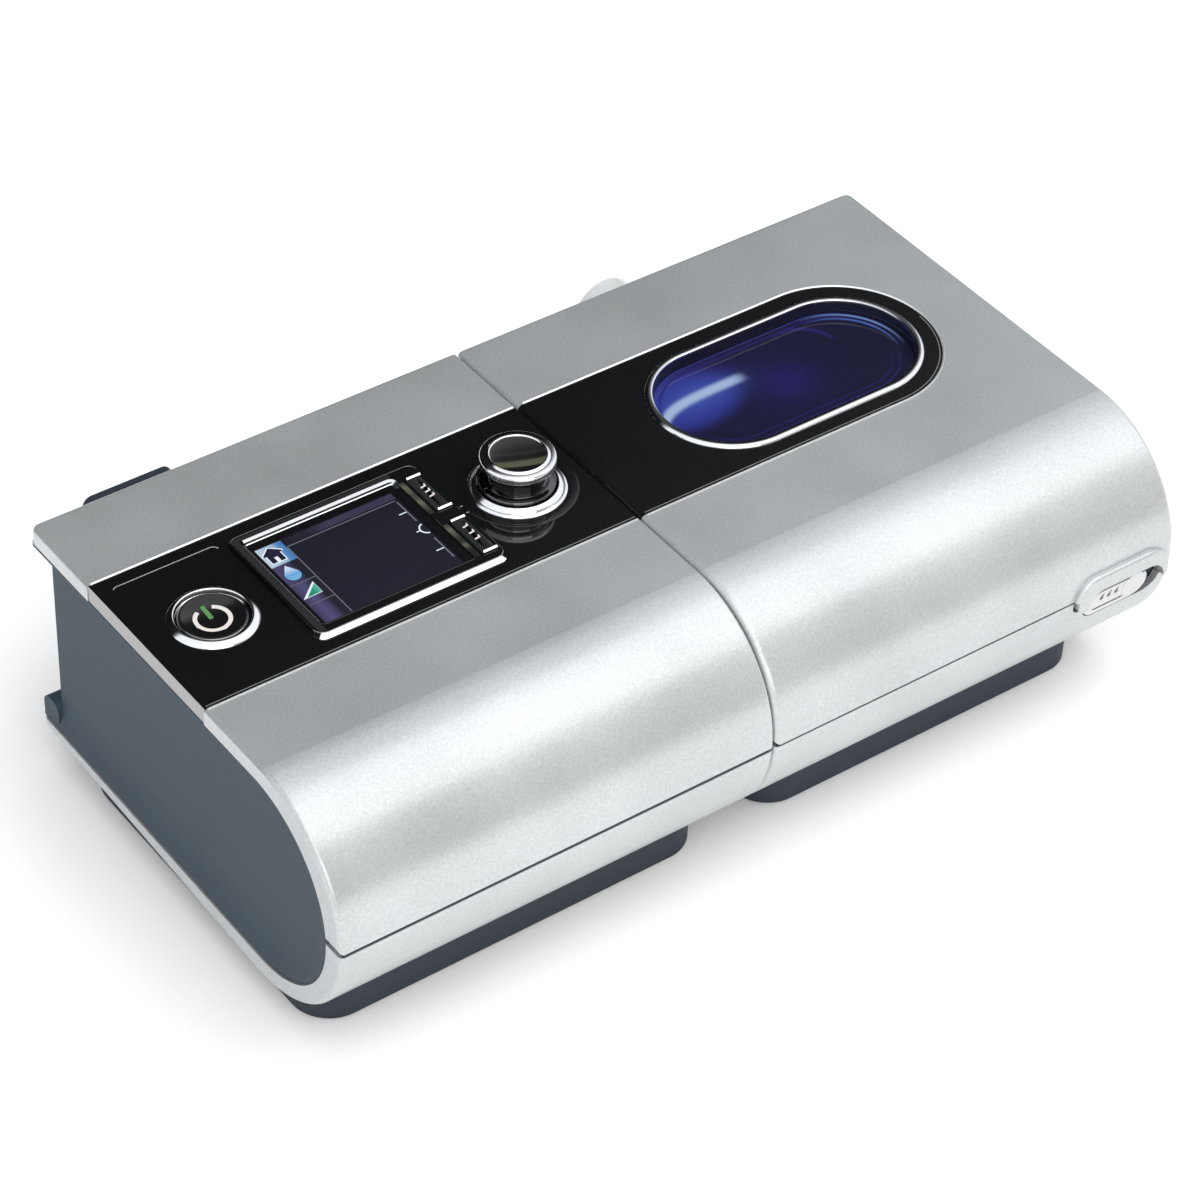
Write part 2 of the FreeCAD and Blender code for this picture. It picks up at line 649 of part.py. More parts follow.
def flow_chassis(foot):
    body = chassis(FLOW_LEFT, FLOW_RIGHT, size.bay_front)
    posts = [rod("z", (x, y), (size.bay_floor, BOARD_LOW), size.post_radius)
             for x in (BOARD_X[0] + size.post_side, BOARD_X[1] - size.post_side)
             for y in (BOARD_Y[0] + size.post_inset, BOARD_Y[1] - size.post_inset)]
    wall = grown((REAR_WALL - size.chassis_wall, REAR_WALL), size.cut_over)
    side = grown((FLOW_RIGHT - size.panel_recess - size.chassis_wall,
                  FLOW_RIGHT - size.panel_recess), size.cut_over / 2)
    holes = [
        block(FILTER_X, wall, FILTER_Z),
        block(grown(CARD_X, size.card_gap), wall, grown(CARD_Z, size.card_gap)),
        rod("y", SOCKET, wall, size.socket_bore + size.slot_wall),
        rod("x", PORT, side, PORT_RADIUS + size.fascia_gap),
        *[rod("x", place, side, size.pin_radius) for place in PINS],
    ]
    piece("flow_chassis", cut(joined(body, *posts), *holes, *screw_holes(*foot)))


# ---------------------------------------------------------------- controls

def start_button():
    collar = tube("z", BUTTON, (TOP, TOP + size.ring_proud), size.ring_radius, size.ring_bore)
    skirt = tube("z", BUTTON, (TOP - size.ring_depth, TOP), size.ring_skirt, size.ring_bore)
    piece("start_ring", joined(collar, skirt))
    top = TOP + size.button_proud
    low = top - size.button_thick
    cap = rod("z", BUTTON, (low, top), size.ring_bore - size.button_gap)
    stem = rod("z", BUTTON, (SWITCH_TOP + size.switch_gap + size.button_travel, low), size.stem_radius)
    piece("start_button", joined(cap, stem))


def display():
    top = TOP + size.bezel_proud
    frame = padded("z", rounded(BEZEL_X, BEZEL_Y, size.bezel_corner), (TOP, top))
    tuck = -(size.bezel_overlap + size.fascia_gap)
    skirt = padded("z", rounded(grown(BEZEL_X, tuck), grown(BEZEL_Y, tuck),
                                size.bezel_corner - size.bezel_overlap),
                   (TOP - size.bezel_skirt, TOP))
    through = (TOP - size.bezel_skirt - size.cut_over, top + size.cut_over)
    hole = block(grown(SCREEN_X, size.screen_gap), grown(SCREEN_Y, size.screen_gap), through)
    slots = [block(grown(KEY_X, size.key_gap), grown(key, size.key_gap), through)
             for key in KEYS_Y.values()]
    strip_start = SCREEN_Y[1] + size.trim_depth / 2
    back_strip = block(SCREEN_X, (strip_start, strip_start + size.trim_depth), (TOP, top))
    front_y = BEZEL_Y[0] - size.trim_gap
    front_strip = block(grown(BEZEL_X, -size.trim_depth / 2), (front_y - size.trim_depth, front_y),
                        (TOP, top))
    piece("display_bezel", cut(joined(frame, skirt), hole, back_strip, *slots))
    piece("display_trim", joined(back_strip, front_strip))
    glass_top = top - size.window_drop
    glass_low = glass_top - size.window_thick
    module_low = glass_low - size.module_thick
    piece("display_window", block(SCREEN_X, SCREEN_Y, (glass_low, glass_top)))
    piece("display_module", block(SCREEN_X, SCREEN_Y, (module_low, glass_low)))
    walls = block(SCREEN_X, SCREEN_Y, (BOARD_TOP, module_low))
    inside = block(grown(SCREEN_X, -size.carrier_wall), grown(SCREEN_Y, -size.carrier_wall),
                   (BOARD_TOP - size.cut_over, module_low + size.cut_over))
    piece("display_carrier", cut(walls, inside))


def soft_keys():
    top = TOP + size.key_proud
    low = top - size.key_thick
    for label, depth in KEYS_Y.items():
        cap = block(KEY_X, depth, (low, top))
        middle = ((KEY_X[0] + KEY_X[1]) / 2, (depth[0] + depth[1]) / 2)
        stem = rod("z", middle, (SWITCH_TOP + size.switch_gap + size.key_travel, low), size.key_stem)
        piece(label, joined(cap, stem))


def push_dial():
    """A knob that turns and is pushed, in its collar; the shaft runs in the encoder's bushing."""
    plate = tube("z", DIAL, (TOP, TOP + size.collar_plate), size.collar_step, size.collar_bore)
    wall = tube("z", DIAL, (TOP, TOP + size.collar_height), size.collar_radius, size.collar_bore)
    piece("dial_collar", joined(plate, wall))
    low = TOP + size.dial_lift
    high = TOP + size.dial_top
    grip = low + size.shaft_grip
    shaft_low = ENCODER_TOP + size.shaft_drop
    skirt = rod("z", DIAL, (low, low + size.dial_skirt), size.dial_radius)
    neck = rod("z", DIAL, (low, high - size.dial_dish), size.neck_radius)
    head = rod("z", DIAL, (high - size.head_height, high), size.head_radius)
    dish = rod("z", DIAL, (high - size.dial_dish, high + size.cut_over), size.head_radius - size.dial_rim)
    socket = rod("z", DIAL, (low - size.cut_over, grip), size.shaft_radius)
    piece("dial_knob", cut(joined(skirt, neck, head), dish, socket))
    piece("dial_shaft", tube("z", DIAL, (shaft_low, grip), size.shaft_radius, size.shaft_bore))
    rod_low = BOARD_TOP + size.dial_travel + size.shaft_drop
    piece("dial_plunger", rod("z", DIAL, (rod_low, grip - size.shaft_gap), size.plunger_radius))
    case = rod("z", DIAL, (BOARD_TOP, ENCODER_TOP), size.encoder_radius)
    bushing = tube("z", DIAL, (ENCODER_TOP, ENCODER_TOP + size.bushing_height),
                   size.bushing_radius, size.shaft_radius + size.shaft_gap)
    well = rod("z", DIAL, (rod_low - size.dial_travel - size.shaft_gap, ENCODER_TOP + size.cut_over),
               size.plunger_radius + size.shaft_gap)
    piece("dial_encoder", cut(joined(case, bushing), well))


# ---------------------------------------------------------------- electronics

BOARD_X = (FLOW_LEFT + size.board_left, FLOW_RIGHT - size.board_inset)
BOARD_Y = (-size.board_front, size.board_back)
ENCODER_TOP = BOARD_TOP + size.encoder_height
CARD_X = (FLOW_RIGHT - size.card_inset - size.card_width, FLOW_RIGHT - size.card_inset)
CARD_END = REAR_WALL + size.card_proud
CARD_Y = (CARD_END - size.card_length, CARD_END)
SLOT_MIDDLE = BOARD_LOW - size.slot_height / 2
CARD_Z = (SLOT_MIDDLE - size.card_thick / 2, SLOT_MIDDLE + size.card_thick / 2)
SOCKET = (FLOW_LEFT + size.socket_x, size.socket_level)


def electronics():
    piece("main_board", block(BOARD_X, BOARD_Y, (BOARD_LOW, BOARD_TOP)))
    half = size.switch_size / 2
    key_middle = (KEY_X[0] + KEY_X[1]) / 2
    places = [BUTTON] + [(key_middle, (key[0] + key[1]) / 2) for key in KEYS_Y.values()]
    switches = [block((x - half, x + half), (y - half, y + half), (BOARD_TOP, SWITCH_TOP))
                for x, y in places]
    piece("key_switches", joined(*switches))
    slot_back = REAR_WALL - size.chassis_wall
    space = block(grown(CARD_X, size.card_gap), (CARD_Y[0] - size.card_gap, slot_back + size.cut_over),
                  grown(CARD_Z, size.card_gap))
    case = block(grown(CARD_X, size.card_gap + size.slot_wall),
                 (CARD_Y[0] - size.card_gap - size.slot_wall, slot_back),
                 (BOARD_LOW - size.slot_height, BOARD_LOW))
    piece("card_slot", cut(case, space))
    piece("memory_card", block(CARD_X, CARD_Y, CARD_Z))


def power_inlet():
    x, z = SOCKET
    half = size.socket_size / 2
    back = REAR_WALL - size.chassis_wall
    case = block((x - half, x + half), (back - size.socket_depth, back), (z - half, z + half))
    neck = rod("y", SOCKET, (back, REAR_WALL), size.socket_bore + size.slot_wall)
    bore = rod("y", SOCKET, (REAR_WALL - size.socket_length, REAR_WALL + size.cut_over), size.socket_bore)
    piece("power_inlet", cut(joined(case, neck), bore))


# ---------------------------------------------------------------- air intake

COVER_X = (FLOW_LEFT + size.cover_left, FLOW_LEFT + size.cover_left + size.cover_width)
COVER_Z = (size.cover_low, TOP - size.cover_drop)
MUFFLER_TOP = BOARD_LOW - size.muffler_drop
FILTER_X = grown(COVER_X, -size.filter_margin)
FILTER_Z = (size.cover_low + size.filter_margin, MUFFLER_TOP - size.muffler_wall)
FILTER_FRONT = REAR_WALL - size.filter_thick
MUFFLER_X = (FLOW_LEFT + size.muffler_left, FLOW_LEFT + size.muffler_right)
MUFFLER_Y = (-size.muffler_front, FILTER_FRONT - size.muffler_gap)


def intake():
    """A vented cover, the filter in the rear wall and the box that quietens the air."""
    start = REAR_WALL + size.cover_gap
    cap = padded("y", rounded(COVER_X, COVER_Z, size.cover_corner), (start, size.cover_end))
    hollow = padded("y", rounded(grown(COVER_X, -size.cover_wall), grown(COVER_Z, -size.cover_wall),
                                 size.cover_corner - size.cover_wall),
                    (start - size.cut_over, size.cover_end - size.cover_wall))
    first = COVER_Z[0] + size.filter_margin + size.vent_pitch
    vents = [block(grown(COVER_X, -size.vent_side),
                   (size.cover_end - size.cut_over, size.cover_end + size.cut_over),
                   (first + i * size.vent_pitch, first + i * size.vent_pitch + size.vent_width))
             for i in range(int(SIZES["vent_count"]))]
    piece("filter_cover", cut(cap, hollow, *vents))
    piece("air_filter", block(grown(FILTER_X, -size.filter_gap), (FILTER_FRONT, REAR_WALL),
                              grown(FILTER_Z, -size.filter_gap)))
    wall = size.muffler_wall
    box = block(MUFFLER_X, MUFFLER_Y, (size.bay_floor, MUFFLER_TOP))
    inside = block(grown(MUFFLER_X, -wall), grown(MUFFLER_Y, -wall),
                   (size.bay_floor + wall, MUFFLER_TOP - wall))
    mouth = block(grown(FILTER_X, -wall), grown((MUFFLER_Y[1] - wall, MUFFLER_Y[1]), size.cut_over), FILTER_Z)
    outlet = block(grown((MUFFLER_X[1] - wall, MUFFLER_X[1]), size.cut_over),
                   grown(SCOOP_Y, -size.scoop_wall), grown(SCOOP_Z, -size.scoop_wall))
    piece("intake_muffler", cut(box, inside, mouth, outlet))


# ---------------------------------------------------------------- blower

BLOWER_SPAN = (MUFFLER_X[1] + size.blower_gap, FLOW_RIGHT - size.blower_inset)
HOUSING_RADIUS = (BLOWER_SPAN[1] - BLOWER_SPAN[0]) / 2
BLOWER = (BLOWER_SPAN[0] + HOUSING_RADIUS, size.blower_y)
HOUSING_LOW = size.bay_floor + size.mount_height
HOUSING_HIGH = HOUSING_LOW + size.housing_share * (BOARD_LOW - HOUSING_LOW)
COVER_TOP = HOUSING_HIGH + size.cover_thick
IMPELLER_LOW = HOUSING_HIGH - size.impeller_drop
IMPELLER_RADIUS = HOUSING_RADIUS - size.impeller_margin
SCOOP_Y = (BLOWER[1] - size.scoop_half, BLOWER[1] + size.scoop_half)
SCOOP_Z = (COVER_TOP, COVER_TOP + size.scoop_share * (BOARD_LOW - HOUSING_LOW))
PORT_RADIUS = (HOUSING_HIGH - HOUSING_LOW) / 2 - size.port_margin
PORT_BORE = PORT_RADIUS - size.port_wall
PORT_Y = BLOWER[1] - size.port_share * HOUSING_RADIUS
PORT = (PORT_Y, (HOUSING_HIGH + HOUSING_LOW) / 2)
PINS = [(size.pin_rear, PORT[1]), (-size.pin_front, PORT[1])]
NOZZLE_END = BLOWER_SPAN[1] + size.mount_radius


def blower_case():
    floor = HOUSING_LOW + size.housing_wall
    drum = rod("z", BLOWER, (HOUSING_LOW, HOUSING_HIGH), HOUSING_RADIUS)
    nozzle = rod("x", PORT, (BLOWER[0], NOZZLE_END), PORT_RADIUS + size.seal_thick)
    inside = rod("z", BLOWER, (floor, HOUSING_HIGH + size.cut_over), HOUSING_RADIUS - size.housing_wall)
    bore = rod("x", PORT, (BLOWER[0], NOZZLE_END + size.cut_over), PORT_BORE + size.fascia_gap)
    piece("blower_housing", cut(joined(drum, nozzle), inside, bore))
    spread = size.mount_share * HOUSING_RADIUS
    pads = [rod("z", (BLOWER[0] + x * spread, BLOWER[1] + y * spread),
                (size.bay_floor, HOUSING_LOW), size.mount_radius)
            for x in (-1, 1) for y in (-1, 1)]
    piece("blower_mounts", joined(*pads))
    left = MUFFLER_X[1] + size.muffler_gap
    disc = rod("z", BLOWER, (HOUSING_HIGH, COVER_TOP), HOUSING_RADIUS)
    scoop = block((left, BLOWER[0] + size.scoop_half), SCOOP_Y, (HOUSING_HIGH, SCOOP_Z[1]))
    channel = block((left - size.cut_over, BLOWER[0] + size.scoop_half - size.scoop_wall),
                    grown(SCOOP_Y, -size.scoop_wall), (COVER_TOP, SCOOP_Z[1] - size.scoop_wall))
    eye = rod("z", BLOWER, (HOUSING_HIGH - size.cut_over, COVER_TOP + size.cut_over), size.eye_radius)
    piece("blower_cover", cut(joined(disc, scoop), channel, eye))


def rotor():
    """The bladed wheel on its shaft, and the motor can that the shaft turns in."""
    low = IMPELLER_LOW
    disc = padded("z", circle((amount(0.0), amount(0.0)), IMPELLER_RADIUS), (low, low + size.disc_thick))
    doc.recompute()
    blade = disc.newObject("Sketcher::SketchObject", "blade_outline")
    plane = next(part for part in disc.Origin.OriginFeatures if part.Role == "XY_Plane")
    blade.AttachmentSupport = [(plane, "")]
    blade.MapMode = "FlatFace"
    half = size.blade_thick / 2
    rounded((size.blade_start, IMPELLER_RADIUS - size.blade_thick), (-half, half),
            size.blade_round)(blade)
    pad = disc.newObject("PartDesign::Pad", "blade")
    pad.Profile = blade
    bind(pad, Length=size.disc_thick + size.blade_height)
    pattern = disc.newObject("PartDesign::PolarPattern", "blades")
    pattern.Originals = [pad]
    axis = next(part for part in disc.Origin.OriginFeatures if part.Role == "Z_Axis")
    pattern.Axis = (axis, [""])
    pattern.Angle = 360
    bind(pattern, Occurrences=size.blade_count)
    disc.Tip = pattern
    bind(disc, Placement__Base__x=BLOWER[0], Placement__Base__y=BLOWER[1] + CASE_Y)
    hub = rod("z", BLOWER, (low, low + size.hub_height), size.hub_radius)
    hole = rod("z", BLOWER, (low - size.cut_over, low + size.hub_height + size.cut_over), size.motor_shaft)
    piece("impeller", cut(joined(disc, hub), hole))
    floor = HOUSING_LOW + size.housing_wall
    can_top = low - size.can_gap
    shaft_low = floor + size.motor_floor
    piece("motor_shaft", rod("z", BLOWER, (shaft_low, low + size.hub_height), size.motor_shaft))
    can = rod("z", BLOWER, (floor, can_top), size.can_radius)
    well = rod("z", BLOWER, (shaft_low - size.motor_gap, can_top + size.cut_over),
               size.motor_shaft + size.motor_gap)
    piece("motor_can", cut(can, well))


def side_port():
    """The air tube through the side wall, its seal, and the pins that line the units up."""
    face = FLOW_RIGHT - size.panel_recess
    end = FLOW_RIGHT + size.port_reach
    piece("flow_outlet_tube", tube("x", PORT, (NOZZLE_END + size.muffler_gap, end),
                                   PORT_RADIUS, PORT_BORE))
    piece("port_seal", tube("x", PORT, (face, face + size.seal_thick), PORT_RADIUS + size.seal_lip, PORT_RADIUS))
    pins = [rod("x", place, (face - size.chassis_wall, FLOW_RIGHT + size.pin_reach), size.pin_radius)
            for place in PINS]
    piece("docking_pins", joined(*pins))


# ---------------------------------------------------------------- humidifier casing

WINDOW_X = (HUM_LEFT + size.window_x, HUM_RIGHT - size.band_end_inset)
BAND_RADIUS = (size.band_back + size.band_front) / 2
HUM_LOWER = size.parting_height - size.hum_groove / 2
HUM_UPPER = size.parting_height + size.hum_groove / 2
POCKET_X = (HUM_RIGHT - size.pocket_inset - size.pocket_width, HUM_RIGHT - size.pocket_inset)
POCKET_Z = (size.parting_height - size.pocket_below, size.parting_height + size.pocket_above)
STATIONS = (HUM_LEFT + size.hinge_inset, HUM_RIGHT - size.hinge_inset)
KNUCKLE_HALF = size.knuckle_width / 2
EAR_FAR = KNUCKLE_HALF + size.knuckle_gap + size.ear_width


def hinge_span(station, low, high):
    return (station + low, station + high)


def ear_spans(station):
    """The stretches along the hinge line that the two ears of a station take."""
    near = KNUCKLE_HALF + size.knuckle_gap
    return (hinge_span(station, -EAR_FAR, -near), hinge_span(station, near, EAR_FAR))


HINGE = (HINGE_Y, HINGE_Z)


def latch_pocket():
    outline = rounded(POCKET_X, POCKET_Z, size.pocket_corner)
    return padded("y", outline, (FRONT - size.hood_proud - size.cut_over, FRONT + size.pocket_depth))


def latch_tab(gap=0.0):
    """The stretch beside the pocket where the lid reaches down past the parting line."""
    outline = rounded(grown(POCKET_X, size.tab_side + gap),
                      (size.parting_height - size.tab_drop - gap, POCKET_Z[1] + size.hood_above),
                      size.tab_corner)
    return padded("y", outline, (FRONT - size.hood_proud - size.cut_over, FRONT + size.pocket_depth))


def at_the_start(edge):
    """True for an edge in the plane that a form padded along Y starts from."""
    return edge.BoundBox.YMax < NEARLY


def latch_hood():
    """The raised brow round the top of the latch's pocket."""
    outline = rounded((POCKET_X[0] - size.hood_left, POCKET_X[1] + size.hood_right),
                      (POCKET_Z[0], POCKET_Z[1] + size.hood_above), size.hood_corner)
    hood = padded("y", outline, (FRONT - size.hood_proud, FRONT + size.cut_over))
    return round_edges(hood, size.hood_edge, at_the_start)


def hum_lid(shell):
    """The flip lid: silver shell, recess for the band, window hole, latch hood, knuckles."""
    left, right = HUM_LEFT, HUM_RIGHT
    over = size.cut_over
    upper = joined(upper_part(left, right, HUM_UPPER, size.lid_corner), latch_tab())
    knuckles = []
    bores = []
    reliefs = []
    for station in STATIONS:
        span = hinge_span(station, -KNUCKLE_HALF, KNUCKLE_HALF)
        knuckles.append(rod("x", HINGE, span, size.knuckle_radius))
        knuckles.append(block(span, (HINGE_Y - size.pin_size, HINGE_Y + size.pin_size),
                              (HINGE_Z, TOP - size.shell_wall / 2)))
        bores.append(rod("x", HINGE, grown(span, over), size.pin_size + size.pin_gap))
        for ear in ear_spans(station):
            reliefs.append(rod("x", HINGE, grown(ear, size.knuckle_gap),
                               size.knuckle_radius + size.knuckle_gap))
    recess = padded("z", stadium((left - size.window_radius, WINDOW_X[1]), BAND_MIDDLE, BAND_RADIUS),
                    (TOP - size.fascia_thick, TOP + over))
    hole = padded("z", stadium(WINDOW_X, BAND_MIDDLE, size.window_radius - size.ring_lip + size.glass_gap),
                  (BRIDGE[0] - over, TOP + over))
    plain = cut(joined(shell, bridge(left, right)), *reliefs)
    whole = shared(joined(plain, latch_hood()), upper)
    piece("hum_lid", cut(joined(whole, *knuckles), recess, hole, latch_pocket(), *bores))


def hum_tray_and_foot(shell):
    left, right = HUM_LEFT, HUM_RIGHT
    lower = everything_between(amount(0.0), HUM_LOWER)
    foot = (left + size.hum_foot_left, right - size.hum_foot_right)
    piece("hum_lower_tray", cut(shared(shell, lower), latch_pocket(), latch_tab(size.hum_groove),
                                *screw_holes(*foot)))
    base_foot("hum_base_foot", *foot, casing_form(left, right))
    rubber_feet("hum_rubber_feet", *foot)
    case_screws("hum_screws", *foot)
    return foot


def hum_chassis(foot):
    left, right = HUM_LEFT, HUM_RIGHT
    body = chassis(left, right, size.hum_bay_front)
    behind = block((left, right), (REAR_WALL, BACK), (HINGE_Z - size.hinge_clear, TOP))
    ears = []
    bores = []
    for station in STATIONS:
        for span in ear_spans(station):
            ears.append(rod("x", HINGE, span, size.knuckle_radius))
            ears.append(block(span, (REAR_WALL - size.pin_size, HINGE_Y),
                              (HINGE_Z - size.knuckle_radius, OPENING_TOP - size.panel_gap)))
            bores.append(rod("x", HINGE, grown(span, size.knuckle_gap / 2), size.pin_size))
    wall = grown((REAR_WALL - size.chassis_wall, REAR_WALL), size.cut_over)
    side = grown((left + size.panel_recess, left + size.panel_recess + size.chassis_wall),
                 size.cut_over / 2)
    holes = [
        rod("y", OUTLET, wall, size.outlet_radius + size.outlet_rim + size.fascia_gap),
        rod("x", PORT, side, PORT_RADIUS + size.port_gap),
        *[rod("x", place, side, size.pin_radius + size.port_gap) for place in PINS],
    ]
    piece("hum_chassis", cut(joined(cut(body, behind), *ears), *bores, *holes, *screw_holes(*foot)))
    pins = [rod("x", HINGE, hinge_span(station, -EAR_FAR, EAR_FAR), size.pin_size) for station in STATIONS]
    piece("hinge_pins", joined(*pins))


def lid_parts():
    """The band, the window in its ring, and the liner and seal under the lid."""
    left = HUM_LEFT
    span = (TOP - size.fascia_thick, TOP)
    band = padded("z", stadium((left - size.window_radius, WINDOW_X[1]), BAND_MIDDLE,
                               BAND_RADIUS - size.fascia_gap), span)
    skirt_radius = size.window_radius - size.ring_lip
    hole = padded("z", stadium(WINDOW_X, BAND_MIDDLE, skirt_radius + size.fascia_gap), grown(span, size.cut_over))
    beyond = block((left - size.window_radius - BAND_RADIUS - size.cut_over, left + size.fascia_side),
                   grown(BAND, size.cut_over), grown(span, size.cut_over))
    piece("lid_fascia", shared(cut(band, hole, beyond), outer_casing(left, HUM_RIGHT, False)))
    glass_top = TOP - size.glass_drop
    glass_low = glass_top - size.glass_thick
    bore = stadium(WINDOW_X, BAND_MIDDLE, size.window_bore)
    flange = ring_of("z", stadium(WINDOW_X, BAND_MIDDLE, size.window_radius), bore,
                     (TOP, TOP + size.ring_rise))
    skirt = ring_of("z", stadium(WINDOW_X, BAND_MIDDLE, skirt_radius), bore, (glass_low, TOP))
    piece("window_ring", joined(flange, skirt))
    piece("lid_window", padded("z", stadium(WINDOW_X, BAND_MIDDLE, size.window_bore - size.glass_gap),
                               (glass_low, glass_top)))
    liner_x = (left + size.liner_left, HUM_RIGHT - size.liner_right)
    liner_y = (-size.liner_front, size.liner_back)
    liner_low = TOP - size.liner_drop
    liner_top = liner_low + size.liner_thick
    plate = padded("z", rounded(liner_x, liner_y, size.liner_radius), (liner_low, liner_top))
    rim = ring_of("z", rounded(liner_x, liner_y, size.liner_radius),
                  rounded(grown(liner_x, -size.liner_rim), grown(liner_y, -size.liner_rim),
                          size.liner_radius - size.liner_rim),
                  (liner_top, TOP - size.shell_wall))
    opening = padded("z", stadium(WINDOW_X, BAND_MIDDLE, size.window_radius),
                     (liner_low - size.cut_over, TOP))
    inside = casing_form(left, HUM_RIGHT, size.shell_wall)
    piece("lid_liner", cut(shared(joined(plate, rim), inside), opening, bridge(left, HUM_RIGHT)))
    seal_x = grown(TUB_X, -size.liner_rim)
    seal_y = (-size.liner_front + size.liner_rim, size.tub_back - size.liner_rim)
    thick = size.lid_seal_thick
    piece("lid_seal", ring_of("z", rounded(seal_x, seal_y, size.liner_radius),
                              rounded(grown(seal_x, -thick), grown(seal_y, -thick),
                                      size.liner_radius - thick),
                              (TUB_LID_TOP + size.lid_seal_gap, liner_low)))


def latch():
    """A sliding latch that lies flush in its pocket, and the slate plate behind it."""
    gap = size.latch_gap
    latch_x = (POCKET_X[0] + gap, POCKET_X[1] - gap - size.latch_travel)
    outline = rounded(latch_x, grown(POCKET_Z, -gap), size.pocket_corner - gap)
    blank = padded("y", outline, (FRONT - size.cut_over, FRONT + size.pocket_depth))
    skin = cut(casing_form(HUM_LEFT, HUM_RIGHT),
               casing_form(HUM_LEFT - size.cut_over, HUM_RIGHT + size.cut_over, size.latch_thick))
    piece("lid_latch", shared(blank, skin))
    outer = size.shell_wall + size.backing_gap
    layer = cut(casing_form(HUM_LEFT + size.shell_wall, HUM_RIGHT - size.shell_wall, outer),
                casing_form(HUM_LEFT, HUM_RIGHT, outer + size.backing_thick))
    area = block(grown(POCKET_X, size.backing_margin), (FRONT, FRONT + size.backing_depth),
                 grown(POCKET_Z, size.backing_margin))
    piece("latch_backing", shared(layer, area))


# ---------------------------------------------------------------- humidifier inside

TUB_X = (HUM_LEFT + size.tub_left, HUM_RIGHT - size.tub_right)
TUB_Y = (-size.tub_front, size.tub_back)
OUTLET = (HUM_LEFT + size.outlet_x, TOP - size.outlet_drop)
TUB_HIGH = TOP - size.tub_drop
TUB_LID_LOW = TUB_HIGH + size.tub_lid_gap
TUB_LID_TOP = TOP - size.tub_lid_drop
WINDOW_Z = (TUB_LID_LOW + size.tub_wall, TUB_LID_TOP - size.duct_window_drop)


def water_tub():
    wall = size.tub_wall
    plan = rounded(TUB_X, TUB_Y, size.tub_radius)
    inner = rounded(grown(TUB_X, -wall), grown(TUB_Y, -wall), size.tub_radius - wall)
    margin = size.tub_plate_margin
    plate_x = grown(TUB_X, -margin)
    plate_y = grown(TUB_Y, -margin)
    opening = rounded(grown(plate_x, size.tub_lid_gap), grown(plate_y, size.tub_lid_gap),
                      size.tub_radius - wall)
    case = padded("z", plan, (size.tub_low, TUB_HIGH))
    inside = padded("z", inner, (size.tub_low + wall, TUB_HIGH + size.cut_over))
    base_hole = padded("z", opening, (size.tub_low - size.cut_over, size.tub_low + size.cut_over))
    piece("water_tub", cut(case, inside, base_hole))
    plate = rounded(plate_x, plate_y, size.tub_radius - wall)
    piece("tub_base_plate", padded("z", plate, (size.tub_low, size.tub_low + size.tub_plate_thick)))
    heater = rounded(grown(TUB_X, -size.heater_margin), grown(TUB_Y, -size.heater_margin),
                     size.tub_radius - wall)
    piece("heater_plate", padded("z", heater, (size.bay_floor, size.tub_low - size.heater_gap)))
    cap = padded("z", plan, (TUB_LID_LOW, TUB_LID_TOP))
    space = padded("z", inner, (TUB_LID_LOW - size.cut_over, TUB_LID_TOP - wall))
    half = size.duct_window_half
    inlet = block(grown((TUB_X[0], TUB_X[0] + wall), size.cut_over), (PORT_Y - half, PORT_Y + half), WINDOW_Z)
    outlet = block((OUTLET[0] - half, OUTLET[0] + half), grown((TUB_Y[1] - wall, TUB_Y[1]), size.cut_over),
                   WINDOW_Z)
    piece("tub_lid", cut(cap, space, inlet, outlet))


def air_path():
    """The inlet duct from the flow generator up to the tub lid, and the outlet elbow."""
    wall = size.duct_wall
    half = size.duct_window_half
    duct_x = (HUM_LEFT + size.duct_left, TUB_X[0] - size.duct_gap)
    duct_y = (PORT_Y - size.duct_half, PORT_Y + size.duct_half)
    duct_z = (size.bay_floor, TUB_LID_TOP)
    port = rod("x", PORT, grown((duct_x[0], duct_x[0] + wall), size.cut_over), PORT_RADIUS + size.port_gap)
    window = block(grown((duct_x[1] - wall, duct_x[1]), size.cut_over), (PORT_Y - half, PORT_Y + half),
                   WINDOW_Z)
    piece("inlet_duct", cut(block(duct_x, duct_y, duct_z),
                            block(grown(duct_x, -wall), grown(duct_y, -wall), grown(duct_z, -wall)),
                            port, window))
    back = REAR_WALL - size.chassis_wall - size.outlet_gap
    elbow_x = (OUTLET[0] - size.elbow_half, OUTLET[0] + size.elbow_half)
    elbow_y = (TUB_Y[1] + size.duct_gap, back)
    elbow_z = (TOP - size.elbow_drop, TUB_LID_TOP)
    elbow = block(elbow_x, elbow_y, elbow_z)
    root_end = REAR_WALL + size.outlet_collar
    root = rod("y", OUTLET, (back - wall, root_end), size.outlet_radius + size.outlet_rim)
    spigot = rod("y", OUTLET, (root_end, size.outlet_end), size.outlet_radius)
    inside = block(grown(elbow_x, -wall), grown(elbow_y, -wall), grown(elbow_z, -wall))
    bore = rod("y", OUTLET, grown((back - wall, size.outlet_end), size.cut_over), size.outlet_bore)
    slot = block((OUTLET[0] - half, OUTLET[0] + half), grown((elbow_y[0], elbow_y[0] + wall), size.cut_over),
                 WINDOW_Z)
    piece("air_outlet", cut(joined(elbow, root, spigot), inside, bore, slot))


# ---------------------------------------------------------------- build and write

flow_foot = flow_casing()
flow_chassis(flow_foot)
control_fascia()
start_button()
display()
soft_keys()
push_dial()
electronics()
power_inlet()
intake()
blower_case()
rotor()
side_port()

